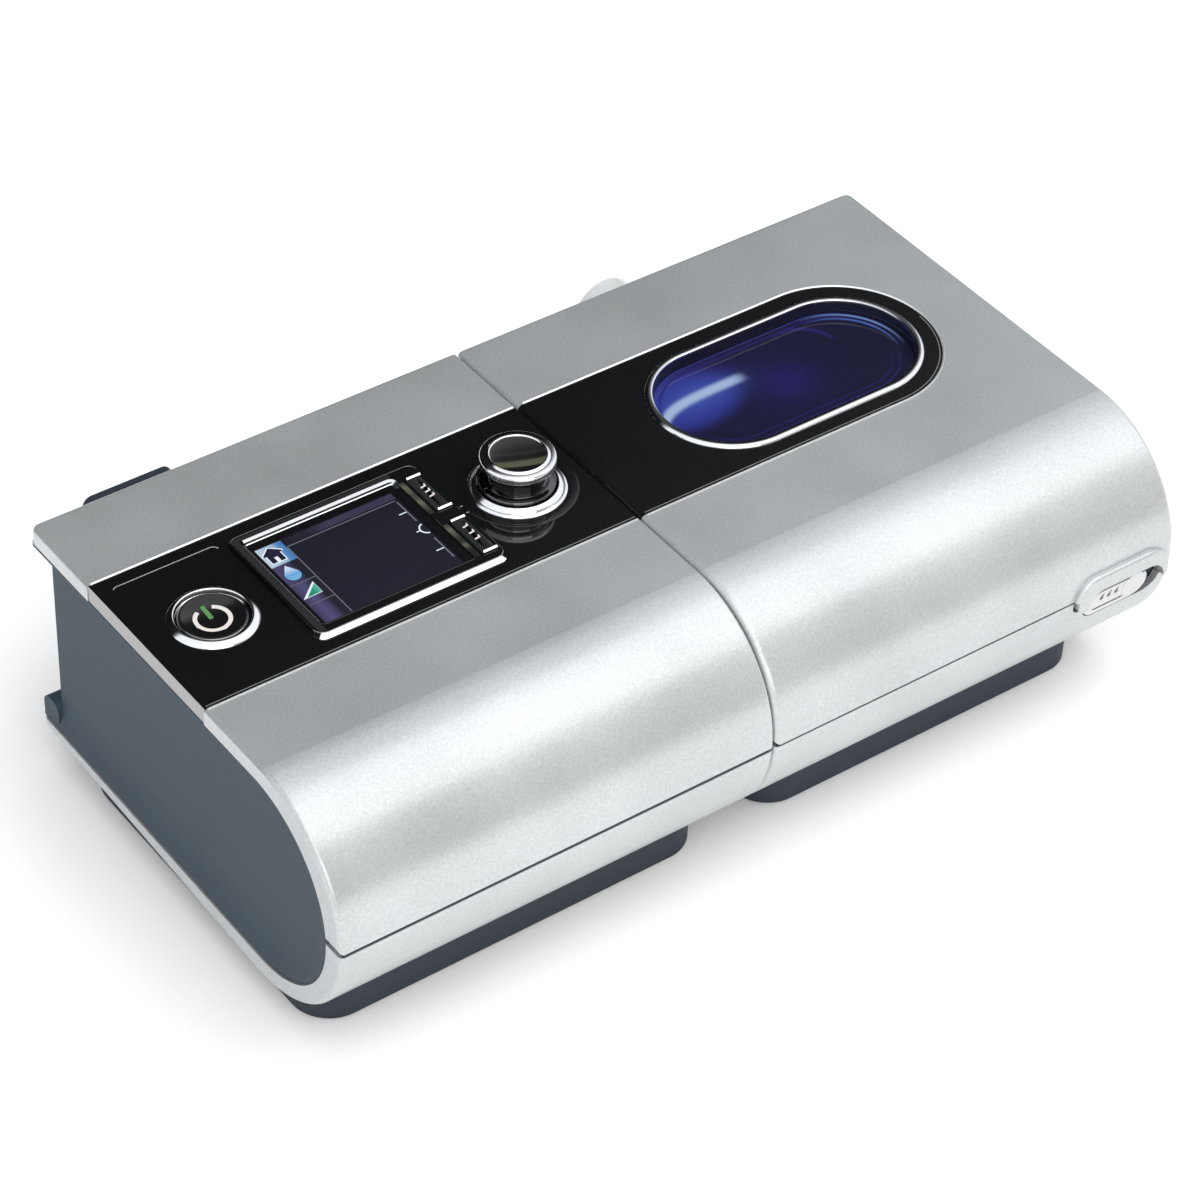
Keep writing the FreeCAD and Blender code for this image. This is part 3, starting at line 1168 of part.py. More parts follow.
hum_shell = casing_shell(HUM_LEFT, HUM_RIGHT, False)
hum_lid(hum_shell)
hum_foot = hum_tray_and_foot(hum_shell)
hum_chassis(hum_foot)
lid_parts()
latch()
water_tub()
air_path()

doc.recompute()
for feature in doc.Objects:
    if "Invalid" in feature.State or "Error" in feature.State:
        raise RuntimeError(f"{feature.Name} ({feature.Label}) failed: {feature.State}")
os.makedirs("parts", exist_ok=True)
for label, feature in nodes.items():
    shape = feature.Shape
    if shape.isNull() or not shape.isValid():
        raise RuntimeError(f"{label} has no valid shape")
    shape.exportStep(f"parts/{label}.step")
print(len(nodes), "sub-parts written")
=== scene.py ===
import json
import math

import bmesh
import bpy
from mathutils import Matrix, Vector

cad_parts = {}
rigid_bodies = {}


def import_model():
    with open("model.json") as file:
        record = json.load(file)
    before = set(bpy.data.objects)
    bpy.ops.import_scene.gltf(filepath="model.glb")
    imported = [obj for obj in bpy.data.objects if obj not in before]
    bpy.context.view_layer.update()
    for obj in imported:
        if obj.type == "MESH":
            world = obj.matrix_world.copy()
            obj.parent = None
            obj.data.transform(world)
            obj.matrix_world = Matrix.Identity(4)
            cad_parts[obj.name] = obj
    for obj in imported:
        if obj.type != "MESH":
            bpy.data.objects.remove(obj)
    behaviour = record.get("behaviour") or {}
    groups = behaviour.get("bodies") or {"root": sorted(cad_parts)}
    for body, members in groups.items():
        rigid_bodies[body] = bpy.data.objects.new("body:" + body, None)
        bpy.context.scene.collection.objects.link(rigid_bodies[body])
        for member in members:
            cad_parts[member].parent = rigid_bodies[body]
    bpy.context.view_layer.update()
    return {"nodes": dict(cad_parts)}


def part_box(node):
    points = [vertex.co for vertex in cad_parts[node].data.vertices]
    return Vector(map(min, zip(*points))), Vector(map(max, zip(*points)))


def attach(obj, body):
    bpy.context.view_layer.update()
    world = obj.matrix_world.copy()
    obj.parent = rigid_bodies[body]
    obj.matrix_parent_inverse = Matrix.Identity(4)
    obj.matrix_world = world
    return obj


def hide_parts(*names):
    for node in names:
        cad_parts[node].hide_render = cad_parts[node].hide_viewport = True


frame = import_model()

# Everything below is written in millimetres and put into metres when a mesh is made.
MM = 0.001


# ------------------------------------------------------------------ node tools

class Field:
    """A value that changes over a surface. Arithmetic on it adds the nodes that work it out."""

    def __init__(self, socket):
        self.socket = socket

    def step(self, kind, other=None):
        node = self.socket.id_data.nodes.new("ShaderNodeMath")
        node.operation = kind
        feed(self, node.inputs[0])
        if other is not None:
            feed(other, node.inputs[1])
        return Field(node.outputs[0])

    def __add__(self, other):
        return self.step("ADD", other)

    def __sub__(self, other):
        return self.step("SUBTRACT", other)

    def __mul__(self, other):
        return self.step("MULTIPLY", other)

    def __truediv__(self, other):
        return self.step("MULTIPLY", 1 / other)

    def __pow__(self, other):
        return self.step("POWER", other)

    def __abs__(self):
        return self.step("ABSOLUTE")


def feed(value, target):
    """Gives an input a plain value, or links it to whatever works the value out."""
    if isinstance(value, Field):
        value = value.socket
    if isinstance(value, bpy.types.NodeSocket):
        target.id_data.links.new(value, target)
    else:
        target.default_value = value


def span(value, low, high, to_low=0.0, to_high=1.0):
    """The value taken from one range to another, and held at its ends."""
    node = value.socket.id_data.nodes.new("ShaderNodeMapRange")
    for label, number in (("From Min", low), ("From Max", high), ("To Min", to_low), ("To Max", to_high)):
        node.inputs[label].default_value = number
    feed(value, node.inputs["Value"])
    return Field(node.outputs["Result"])


def places(tree):
    """The place on the object along each axis, in metres."""
    where = tree.nodes.new("ShaderNodeTexCoord")
    parts = tree.nodes.new("ShaderNodeSeparateXYZ")
    tree.links.new(where.outputs["Object"], parts.inputs[0])
    return [Field(output) for output in parts.outputs]


def facing(tree, output, direction):
    """How far a texture coordinate reaches in a direction."""
    where = tree.nodes.new("ShaderNodeTexCoord")
    node = tree.nodes.new("ShaderNodeVectorMath")
    node.operation = "DOT_PRODUCT"
    node.inputs[1].default_value = direction
    tree.links.new(where.outputs[output], node.inputs[0])
    return Field(node.outputs["Value"])


def color_ramp(amount, stops):
    """Colours that follow an amount through stops of (place, colour)."""
    ramp = amount.socket.id_data.nodes.new("ShaderNodeValToRGB")
    elements = ramp.color_ramp.elements
    elements[0].position, elements[1].position = stops[0][0], stops[-1][0]
    for place, _ in stops[1:-1]:
        elements.new(place)
    for element, (_, color) in zip(elements, stops):
        element.color = [*color, 1.0]
    feed(amount, ramp.inputs["Fac"])
    return ramp.outputs["Color"]


def tinted(base, mask, color):
    """The base colour with a linear colour mixed in where the mask is."""
    mix = base.id_data.nodes.new("ShaderNodeMix")
    mix.data_type = "RGBA"
    feed(mask, mix.inputs["Factor"])
    feed(base, mix.inputs[6])
    mix.inputs[7].default_value = [*color, 1.0]
    return mix.outputs[2]


def rgb(red, green, blue):
    """A display colour from 0 to 255 as the linear colour that a shader takes."""
    return [((c / 255 + 0.055) / 1.055) ** 2.4 if c > 10 else c / 255 / 12.92 for c in (red, green, blue)]


# ------------------------------------------------------------------ camera, light and floor

def make_camera():
    azimuth, elevation, roll = -0.6605, 0.71349, 0.04618
    back = Vector((math.sin(azimuth) * math.cos(elevation),
                   -math.cos(azimuth) * math.cos(elevation), math.sin(elevation)))
    right = (-back).cross(Vector((0, 0, 1))).normalized()
    up = right.cross(-back)
    turned_right = math.cos(roll) * right + math.sin(roll) * up
    turned_up = -math.sin(roll) * right + math.cos(roll) * up
    data = bpy.data.cameras.new("camera")
    data.sensor_width = 36.0
    data.lens = 121.04
    data.clip_start, data.clip_end = 0.05, 20.0
    camera = bpy.data.objects.new("camera", data)
    camera.rotation_mode = "QUATERNION"
    camera.rotation_quaternion = Matrix((turned_right, turned_up, back)).transposed().to_quaternion()
    camera.location = Vector((-532.02, -685.63, 791.58)) * MM
    bpy.context.collection.objects.link(camera)
    bpy.context.scene.camera = camera


def area_light(name, place, size, power, color):
    """A soft light aimed at the machine's middle."""
    data = bpy.data.lights.new(name, "AREA")
    data.color = color
    data.shape = "RECTANGLE"
    data.size, data.size_y = size
    data.energy = power
    light = bpy.data.objects.new(name, data)
    light.location = place
    light.rotation_mode = "QUATERNION"
    light.rotation_quaternion = (Vector((0.0, 0.0, 0.05)) - Vector(place)).to_track_quat("-Z", "Y")
    bpy.context.collection.objects.link(light)


# The room's light from the back (0) to the front (1): a level, and how cool it is
ROOM = ((0.0, 0.008, 1.06), (0.18, 0.012, 1.06), (0.21, 0.12, 1.05), (0.265, 1.08, 1.03), (0.60, 1.18, 1.01),
        (0.74, 1.14, 1.0), (0.82, 0.98, 0.99), (0.88, 0.72, 0.99), (0.93, 0.5, 0.99), (1.0, 0.42, 0.99))


def make_world():
    """A plain studio: bright overhead and in front, dark behind, white where it is seen."""
    world = bpy.data.worlds.new("studio")
    bpy.context.scene.world = world
    world.use_nodes = True
    tree = world.node_tree
    tree.nodes.clear()
    forward = span(facing(tree, "Generated", (0.0, -1.0, 0.0)), -1.0, 1.0)
    stops = [(place, (level / cool, level, level * cool)) for place, level, cool in ROOM]
    studio = tree.nodes.new("ShaderNodeBackground")
    studio.inputs["Strength"].default_value = 0.95
    tree.links.new(color_ramp(forward, stops), studio.inputs["Color"])
    white = tree.nodes.new("ShaderNodeBackground")
    white.inputs["Color"].default_value = (1.0, 1.0, 1.0, 1.0)
    rays = tree.nodes.new("ShaderNodeLightPath")
    mix = tree.nodes.new("ShaderNodeMixShader")
    tree.links.new(rays.outputs["Is Camera Ray"], mix.inputs["Fac"])
    tree.links.new(studio.outputs["Background"], mix.inputs[1])
    tree.links.new(white.outputs["Background"], mix.inputs[2])
    out = tree.nodes.new("ShaderNodeOutputWorld")
    tree.links.new(mix.outputs["Shader"], out.inputs["Surface"])


def make_floor():
    """A pale floor that glows more the further it lies from the machine: painted light, which leaves a
    painted shadow round the machine.
    """
    bpy.ops.object.select_all(action="DESELECT")
    bpy.ops.mesh.primitive_grid_add(x_subdivisions=4, y_subdivisions=4, size=8.0, calc_uvs=False)
    floor = bpy.context.object
    floor.name = floor.data.name = "floor"
    material = bpy.data.materials.new("floor_white")
    material.use_nodes = True
    tree = material.node_tree
    shader = tree.nodes["Principled BSDF"]
    shader.inputs["Roughness"].default_value = 0.9
    shader.inputs["Specular IOR Level"].default_value = 0.1
    x, y, _ = places(tree)
    # Painted light: the floor's glow is nil beside the machine and rises to 0.2 away from it, so a painted
    # shadow stays round the machine.
    beside = (abs(x) - 0.135).step("MAXIMUM", 0.0)
    before = (abs(y) - 0.07).step("MAXIMUM", 0.0)
    away = (beside * beside + before * before).step("SQRT")
    feed((beside * 3.0 + away * 1.3).step("MINIMUM", 0.2), shader.inputs["Emission Strength"])
    shader.inputs["Emission Color"].default_value = (1.0, 1.0, 1.0, 1.0)
    grain = tree.nodes.new("ShaderNodeTexNoise")
    grain.inputs["Scale"].default_value = 40.0
    tone = color_ramp(Field(grain.outputs["Fac"]), [(0.0, (0.97, 0.97, 0.97)), (1.0, (1.0, 1.0, 1.0))])
    tree.links.new(tone, shader.inputs["Base Color"])
    floor.data.materials.append(material)


bpy.context.scene.view_settings.view_transform = "Standard"
make_camera()
make_world()
make_floor()
area_light("overhead", (0.15, -0.5, 1.35), (2.2, 1.2), 9.0, (0.97, 1.0, 1.0))
area_light("front", (-0.5, -1.5, 0.7), (1.6, 0.9), 7.5, (1.0, 0.98, 0.965))


# ------------------------------------------------------------------ places that the rest is set from

SHELL_LOW, SHELL_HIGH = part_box("flow_top_shell")
# The casing's left side, middle depth, top and right side
LEFT = SHELL_LOW[0] / MM
MIDDLE = (SHELL_LOW[1] + SHELL_HIGH[1]) / 2 / MM
TOP = SHELL_HIGH[2] / MM
RIGHT = -LEFT


def middle_of(node):
    low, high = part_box(node)
    return ((low[0] + high[0]) / 2 / MM, (low[1] + high[1]) / 2 / MM)


BUTTON = middle_of("start_button")
DIAL = middle_of("dial_knob")


# ------------------------------------------------------------------ materials

def shared_grain():
    """One node group that every finish uses: a fine grain and a slow drift, as masks."""
    group = bpy.data.node_groups.new("surface_grain", "ShaderNodeTree")
    sockets = (("Grain Scale", "INPUT"), ("Drift Scale", "INPUT"), ("Grain", "OUTPUT"), ("Drift", "OUTPUT"))
    for name, way in sockets:
        group.interface.new_socket(name, in_out=way, socket_type="NodeSocketFloat")
    source = group.nodes.new("NodeGroupInput")
    sink = group.nodes.new("NodeGroupOutput")
    where = group.nodes.new("ShaderNodeTexCoord")
    for name, detail in (("Grain", 3.0), ("Drift", 2.0)):
        noise = group.nodes.new("ShaderNodeTexNoise")
        noise.inputs["Detail"].default_value = detail
        group.links.new(where.outputs["Object"], noise.inputs["Vector"])
        group.links.new(source.outputs[name + " Scale"], noise.inputs["Scale"])
        group.links.new(noise.outputs["Fac"], sink.inputs[name])
    return group


GRAIN = shared_grain()


def shades(color, spread):
    """A darker and a lighter shade of a colour."""
    return [c * (1 - spread) for c in color], [min(1.0, c * (1 + spread)) for c in color]


def finish(name, color, rough, metallic=0.0, grain=1500.0, tone=0.06, bump=0.0,
           rough_spread=0.05, bump_size=0.00002, glow=None, **sockets):
    """A finish whose colour, gloss and relief vary with the shared grain. A glow is a lit
    colour, its strength and how far its shades lie apart."""
    material = bpy.data.materials.new(name)
    material.use_nodes = True
    tree = material.node_tree
    shader = tree.nodes["Principled BSDF"]
    group = tree.nodes.new("ShaderNodeGroup")
    group.node_tree = GRAIN
    group.inputs["Grain Scale"].default_value = grain
    group.inputs["Drift Scale"].default_value = 25.0
    fine, slow = Field(group.outputs["Grain"]), Field(group.outputs["Drift"])
    both = fine * 0.6 + slow * 0.4
    dark, light = shades(color, tone)
    tree.links.new(color_ramp(both, [(0.3, dark), (0.7, light)]), shader.inputs["Base Color"])
    feed(span(slow, 0.0, 1.0, max(0.0, rough - rough_spread), min(1.0, rough + rough_spread)),
         shader.inputs["Roughness"])
    if bump:
        relief = tree.nodes.new("ShaderNodeBump")
        relief.inputs["Strength"].default_value = bump
        relief.inputs["Distance"].default_value = bump_size
        feed(fine, relief.inputs["Height"])
        tree.links.new(relief.outputs["Normal"], shader.inputs["Normal"])
    if glow:
        lit, strength, spread = glow
        dark, light = shades(lit, spread)
        tree.links.new(color_ramp(both, [(0.0, dark), (1.0, light)]), shader.inputs["Emission Color"])
        shader.inputs["Emission Strength"].default_value = strength
    shader.inputs["Metallic"].default_value = metallic
    for socket, value in sockets.items():
        shader.inputs[socket.replace("_", " ")].default_value = value
    return material


def lit_mark(name, color, strength, spread):
    """A mark that is lit from behind."""
    unlit = [c * 0.3 for c in color]
    return finish(name, unlit, 0.25, grain=900.0, tone=spread, glow=(color, strength, spread))


def along(tree, axis, start, stop):
    """A mask that goes from 0 to 1 between two places in millimetres along an axis."""
    return span(places(tree)["XYZ".index(axis)], start * MM, stop * MM)


def lit_fade(name, stops, axis, start, stop):
    """A lit patch of the screen whose colour fades from one side to the other."""
    material = finish(name, [0.01, 0.01, 0.015], 0.12, grain=900, tone=0.2)
    tree = material.node_tree
    shader = tree.nodes["Principled BSDF"]
    fade = color_ramp(along(tree, axis, start, stop), [(place, rgb(*color)) for place, color in stops])
    tree.links.new(fade, shader.inputs["Emission Color"])
    shader.inputs["Emission Strength"].default_value = 0.9
    return material


def reach_of(u, v):
    return (u * u + v * v).step("SQRT")


def bell(value):
    """1 where the value is 0, fading as it grows."""
    return (value * -1.0).step("EXPONENT")


def soft_spot(x, y, place, reach, sharp=1.0, edge=1.0):
    """A mask that is 1 at a place and fades to 0 at reach millimetres each way."""
    across = (x - place[0] * MM) / (reach[0] * MM)
    deep = (y - place[1] * MM) / (reach[1] * MM)
    return bell((across * across + deep * deep) ** edge * sharp)


def fine_line(distance, radius, width):
    """A mask of a thin soft line at a distance in millimetres."""
    away = (distance - radius * MM) / (width * MM)
    return bell(away * away)


def window_glass():
    """Tinted glass over the tub whose colours are all a painted glow, as the glass is no lamp: near black,
    with a blue glow, a pale streak, and faint rims that are painted reflections of the ring, pale at the
    right where they are painted highlights.
    """
    material = finish("window_violet_painted_glow", [0.004, 0.003, 0.016], 0.05, grain=700, tone=0.3)
    tree = material.node_tree
    shader = tree.nodes["Principled BSDF"]
    x, y, _ = places(tree)
    base = tree.nodes.new("ShaderNodeRGB")
    base.outputs[0].default_value = [*rgb(23, 25, 38), 1.0]
    color = base.outputs[0]
    # Soft patches of painted glow
    for place, reach, sharp, edge, shade in (
            ((60.0, 9.0), (34.0, 26.0), 1.2, 1.0, (24, 25, 48)),
            ((71.5, 8.5), (10.0, 9.0), 1.2, 1.0, (36, 30, 88)),
            ((51.0, 22.0), (11.0, 9.0), 1.2, 1.0, (40, 34, 96)),
            ((41.0, 17.5), (18.0, 12.0), 1.0, 3.0, (50, 58, 144)),
            ((46.0, 17.5), (13.0, 6.0), 1.2, 1.0, (62, 86, 168))):
        color = tinted(color, soft_spot(x, y, place, reach, sharp, edge), rgb(*shade))
    # The pale streak, painted light like the rest of the glow: a curve that rises from the left, thin, with
    # round ends
    run = (x - 34.2 * MM) / MM
    rise = (run * -0.2).step("EXPONENT") * -2.75
    thin = bell(abs(y / MM - (rise + 17.9)) ** 3.4 * 0.115)
    ends = bell(abs((run - 10.5) / 17.5) ** 12.0)
    color = tinted(color, thin * ends, rgb(166, 188, 224))
    # The rims, painted reflections of the ring: fine lines that follow the window's outline, the pale ones at
    # the right being painted highlights
    inward = reach_of(x - x.step("MINIMUM", 92.0 * MM).step("MAXIMUM", 50.4 * MM), y - 9.3 * MM)
    back_side = along(tree, "Y", 12.0, 26.0)
    front_side = along(tree, "Y", 6.0, -6.0)
    right_side = along(tree, "X", 92.0, 106.0) * along(tree, "Y", 4.0, 16.0)
    for radius, width, side, shade in (
            (20.9, 0.3, back_side, (50, 52, 116)), (19.2, 0.4, back_side, (36, 34, 96)),
            (20.3, 0.35, right_side, (120, 152, 206)), (18.4, 0.35, right_side, (84, 110, 186)),
            (17.2, 0.3, front_side, (42, 38, 92)), (15.2, 0.3, front_side, (36, 32, 84))):
        color = tinted(color, fine_line(inward, radius, width) * side, rgb(*shade))
    curl = fine_line(reach_of(x - 84.5 * MM, y - 16.8 * MM), 11.2, 0.7)
    curl = curl * along(tree, "X", 80.0, 88.0) * along(tree, "Y", 16.0, 21.0)
    color = tinted(color, curl, rgb(44, 38, 104))
    # All the glass's colour goes in as emission: a painted glow, as the glass is no lamp.
    tree.links.new(color, shader.inputs["Emission Color"])
    shader.inputs["Emission Strength"].default_value = 0.9
    shader.inputs["Specular IOR Level"].default_value = 0.15
    return material


def band_with_pale_end():
    """The glossy band, whose lip over the casing's left side is painted like the casing."""
    material = finish("band_gloss", (0.0062, 0.0066, 0.0072), 0.035, grain=900, tone=0.2, rough_spread=0.02)
    tree = material.node_tree
    shader = tree.nodes["Principled BSDF"]
    lip = places(tree)[0].step("LESS_THAN", (LEFT + 0.3) * MM)
    color, gloss = (shader.inputs[label].links[0].from_socket for label in ("Base Color", "Roughness"))
    tree.links.new(tinted(color, lip, (0.37, 0.362, 0.365)), shader.inputs["Base Color"])
    mix = tree.nodes.new("ShaderNodeMix")
    feed(lip, mix.inputs["Factor"])
    tree.links.new(gloss, mix.inputs[2])
    mix.inputs[3].default_value = 0.45
    tree.links.new(mix.outputs[0], shader.inputs["Roughness"])
    return material


def dish_painted_reflections():
    """The dial's dish: soft grey and olive bands across it, painted reflections of what lies round the dial.
    """
    material = finish("dial_dish", (0.12, 0.12, 0.11), 0.3, 0.0, grain=1200, tone=0.08, rough_spread=0.05)
    tree = material.node_tree
    slant = (0.38, 0.92, 0.0)
    middle = (slant[0] * DIAL[0] + slant[1] * DIAL[1]) * MM
    # Painted reflections: grey and olive bands across the dish
    reflected_bands = ((0.0, (14, 16, 15)), (0.15, (16, 18, 16)), (0.21, (86, 88, 70)), (0.32, (76, 78, 62)),
             (0.38, (18, 20, 19)), (0.48, (11, 13, 14)), (0.54, (32, 34, 35)), (0.62, (14, 16, 18)),
             (0.8, (26, 28, 29)), (1.0, (16, 18, 19)))
    across = span(facing(tree, "Object", slant), middle - 7.8 * MM, middle + 7.8 * MM)
    tree.links.new(color_ramp(across, [(place, rgb(*color)) for place, color in reflected_bands]),
                   tree.nodes["Principled BSDF"].inputs["Base Color"])
    return material


def channel_painted_reflections():
    """The dark rail beside the keys, with soft olive patches along it that are painted reflections."""
    material = finish("channel_olive_painted_reflections", rgb(24, 25, 25), 0.3, grain=900, tone=0.2)
    tree = material.node_tree
    target = tree.nodes["Principled BSDF"].inputs["Base Color"]
    x, y, _ = places(tree)
    color = target.links[0].from_socket
    # Each spot is a painted reflection: an olive patch along the rail.
    for place, reach in ((32.2, 1.0), (30.6, 2.4), (24.3, 0.9), (24.2, 3.0), (10.4, 0.9), (9.6, 3.0),
                         (2.6, 1.2)):
        spot = soft_spot(x, y, (LEFT + 92.9, MIDDLE + place), (4.0, reach))
        color = tinted(color, spot * 0.55, rgb(104, 107, 88))
    tree.links.new(color, target)
    return material


LOOKS = {
    "silver": finish("silver_satin", (0.522, 0.538, 0.546), 0.29, 0.55, tone=0.16, bump=0.3,
                     bump_size=0.00001),
    "slate": finish("slate_matt", rgb(43, 58, 69), 0.6, tone=0.2, bump=0.35, bump_size=0.00003),
    "slate_dark": finish("slate_dark", rgb(32, 40, 52), 0.6, tone=0.15, bump=0.3, bump_size=0.00003),
    "black": band_with_pale_end(),
    "bezel": finish("bezel_black", (0.0062, 0.0066, 0.007), 0.05, grain=900, tone=0.2, rough_spread=0.02),
    "bezel_satin": finish("bezel_satin", rgb(25, 28, 28), 0.4, grain=900, tone=0.15),
    "key_side": finish("key_side", rgb(30, 33, 31), 0.3, grain=900, tone=0.15),
    "channel": channel_painted_reflections(),
    "glass": finish("screen_glass", (0.006, 0.006, 0.007), 0.04, grain=900, tone=0.2, rough_spread=0.02),
    "chrome": finish("chrome_bright", (0.86, 0.87, 0.88), 0.07, 1.0, grain=1200, tone=0.03,
                     rough_spread=0.03),
    "dark_chrome": finish("chrome_dark", (0.30, 0.30, 0.29), 0.09, 1.0, grain=1200, tone=0.05,
                          rough_spread=0.03),
    "neck_chrome": finish("chrome_neck", (0.12, 0.125, 0.13), 0.06, 1.0, grain=1200, tone=0.05,
                          rough_spread=0.02),
    "head_chrome": finish("chrome_head", (0.84, 0.85, 0.87), 0.05, 1.0, grain=1200, tone=0.03,
                          rough_spread=0.02),
    "dish": dish_painted_reflections(),
    "key": finish("key_black", (0.008, 0.008, 0.009), 0.10, grain=900, tone=0.2),
    "mark_white": lit_mark("mark_white", rgb(230, 224, 220), 0.75, 0.05),
    "mark_green": lit_mark("mark_green", rgb(92, 142, 88), 0.8, 0.12),
    # Grey for thin lines on edges that catch the light: a painted highlight
    "grey_painted_highlight": finish("grey_painted_highlight", rgb(120, 122, 124), 0.4, grain=900, tone=0.08),
    "mark_line": finish("mark_line", rgb(158, 161, 164), 0.4, grain=900, tone=0.08),
    "mark_dark": finish("mark_dark", rgb(74, 78, 82), 0.4, grain=900, tone=0.1),
    # A lighter copy of the silver for thin beads on the shells' edges: a painted highlight
    "edge_painted_highlight": finish("edge_painted_highlight", (0.80, 0.81, 0.82), 0.25, 0.6, grain=1200, tone=0.04),
    # Black for strips laid in gaps and grooves: painted shade
    "black_painted_shade": finish("black_painted_shade", (0.004, 0.004, 0.004), 0.35, grain=900, tone=0.1),
    "lcd": lit_fade("lcd_navy", [(0.0, (17, 18, 28)), (0.6, (17, 19, 27)), (1.0, (13, 13, 21))],
                    "Y", MIDDLE - 3.0, MIDDLE + 33.0),
    "lcd_line": lit_mark("lcd_line", rgb(104, 104, 116), 0.8, 0.05),
    "lcd_head": lit_fade("lcd_head", [(0.0, (20, 20, 28)), (0.2, (26, 26, 36)), (0.4, (58, 54, 78)),
                                      (0.7, (54, 52, 76)), (1.0, (54, 52, 74))],
                         "X", LEFT + 53.0, LEFT + 88.4),
    "lcd_pale": lit_mark("lcd_pale", rgb(214, 222, 232), 0.9, 0.04),
    "lcd_home": lit_fade("lcd_home", [(0.0, (196, 212, 228)), (0.6, (160, 192, 222)), (0.8, (84, 138, 192)),
                                      (1.0, (66, 120, 184))],
                         "X", LEFT + 44.3, LEFT + 52.4),
    "lcd_dark": lit_mark("lcd_dark", rgb(30, 24, 50), 0.8, 0.1),
    "lcd_pool": lit_fade("lcd_pool", [(0.0, (74, 68, 104)), (0.55, (58, 54, 92)), (0.75, (26, 25, 36)),
                                      (1.0, (22, 22, 28))],
                         "X", LEFT + 44.3, LEFT + 52.4),
    "lcd_drop": lit_fade("lcd_drop", [(0.0, (120, 190, 232)), (0.4, (110, 170, 226)), (0.75, (196, 222, 244)),
                                      (1.0, (232, 240, 248))],
                         "Y", MIDDLE + 16.3, MIDDLE + 22.6),
    "lcd_violet": lit_fade("lcd_violet", [(0.0, (58, 54, 82)), (0.35, (80, 76, 122)), (0.62, (60, 56, 88)),
                                          (0.75, (28, 28, 38)), (1.0, (22, 22, 30))],
                           "X", LEFT + 44.3, LEFT + 52.4),
    "lcd_green": lit_fade("lcd_green", [(0.0, (14, 128, 100)), (0.6, (20, 158, 122)), (1.0, (96, 190, 168))],
                          "X", LEFT + 45.6, LEFT + 50.6),
    "rubber": finish("rubber_grey", (0.03, 0.03, 0.032), 0.8, grain=1200, tone=0.15, bump=0.5,
                     bump_size=0.0001),
    "steel": finish("plain_steel", (0.55, 0.55, 0.55), 0.3, 1.0, bump=0.2),
    "plastic_dark": finish("plastic_dark", (0.02, 0.02, 0.022), 0.45, tone=0.15, bump=0.3),
    "plastic_light": finish("plastic_light", (0.62, 0.64, 0.65), 0.45, tone=0.05, bump=0.3),
    "board": finish("board_green", (0.02, 0.12, 0.05), 0.35, tone=0.25, bump=0.3),
    "filter": finish("filter_fibre", (0.8, 0.8, 0.76), 0.95, grain=900, tone=0.12, bump=0.9,
                     bump_size=0.0003),
    "silicone": finish("silicone_pale", (0.62, 0.64, 0.66), 0.5, grain=1200, tone=0.04, bump=0.2),
    "tub": finish("tub_clear", (0.55, 0.62, 0.68), 0.15, grain=900, tone=0.05),
    "tub_lid": finish("tub_blue", (0.08, 0.15, 0.38), 0.2, grain=900, tone=0.08),
    "latch": finish("latch_pale", (0.60, 0.60, 0.605), 0.2, grain=1200, tone=0.03),
    "outlet": finish("outlet_pale", (0.74, 0.72, 0.72), 0.25, grain=1200, tone=0.04, Subsurface_Weight=0.2),
    "window": window_glass(),
    "window_wall": finish("window_wall", rgb(26, 26, 44), 0.12, grain=900, tone=0.3),
}

CARRIED = {
    "silver": ["flow_top_shell", "flow_lower_tray", "hum_lid", "hum_lower_tray"],
    "slate": ["flow_chassis", "hum_chassis", "lid_liner"],
    "slate_dark": ["flow_base_foot", "hum_base_foot", "latch_backing", "filter_cover"],
    "black": ["control_fascia", "lid_fascia"],
    "bezel": ["display_bezel"],
    "chrome": ["start_ring", "display_trim", "dial_collar", "window_ring"],
    "dish": ["dial_knob"],
    "key": ["info_key", "setup_key", "start_button"],
    "rubber": ["flow_rubber_feet", "hum_rubber_feet"],
    "steel": ["flow_screws", "hum_screws", "hinge_pins", "dial_shaft", "dial_plunger", "motor_can",
              "motor_shaft", "card_slot", "tub_base_plate", "docking_pins"],
    "plastic_dark": ["display_carrier", "dial_encoder", "key_switches", "memory_card",
                     "power_inlet", "heater_plate"],
    "plastic_light": ["intake_muffler", "blower_housing", "blower_cover", "impeller", "inlet_duct"],
    "board": ["main_board"],
    "filter": ["air_filter"],
    "silicone": ["blower_mounts", "flow_outlet_tube", "port_seal", "lid_seal"],
    "tub": ["water_tub"],
    "tub_lid": ["tub_lid"],
    "latch": ["lid_latch"],
    "outlet": ["air_outlet"],
    "window": ["lid_window"],
    "glass": ["display_window", "display_module"],
}


def dress(node, material):
    mesh = frame["nodes"][node].data
    if not mesh.materials:
        mesh.materials.append(material)
    for index in range(len(mesh.materials)):
        mesh.materials[index] = material


for look, names in CARRIED.items():
    for node_name in names:
        dress(node_name, LOOKS[look])

for node_object in frame["nodes"].values():
    if not node_object.data.materials:
        raise SystemExit("no finish on " + node_object.name)


# ------------------------------------------------------------------ mesh tools

TURN_STEPS = 128
SMOOTH_LIMIT = math.radians(32.0)
# Points closer than this are welded, and a turn smaller than this counts as straight on
WELD = 0.0005
STRAIGHT = 0.000001


def circle(x, y, count):
    """A place repeated once for each direction that leads away from it."""
    turns = [2 * math.pi * k / count for k in range(count)]
    return [((x, y), (math.cos(a), math.sin(a))) for a in turns]


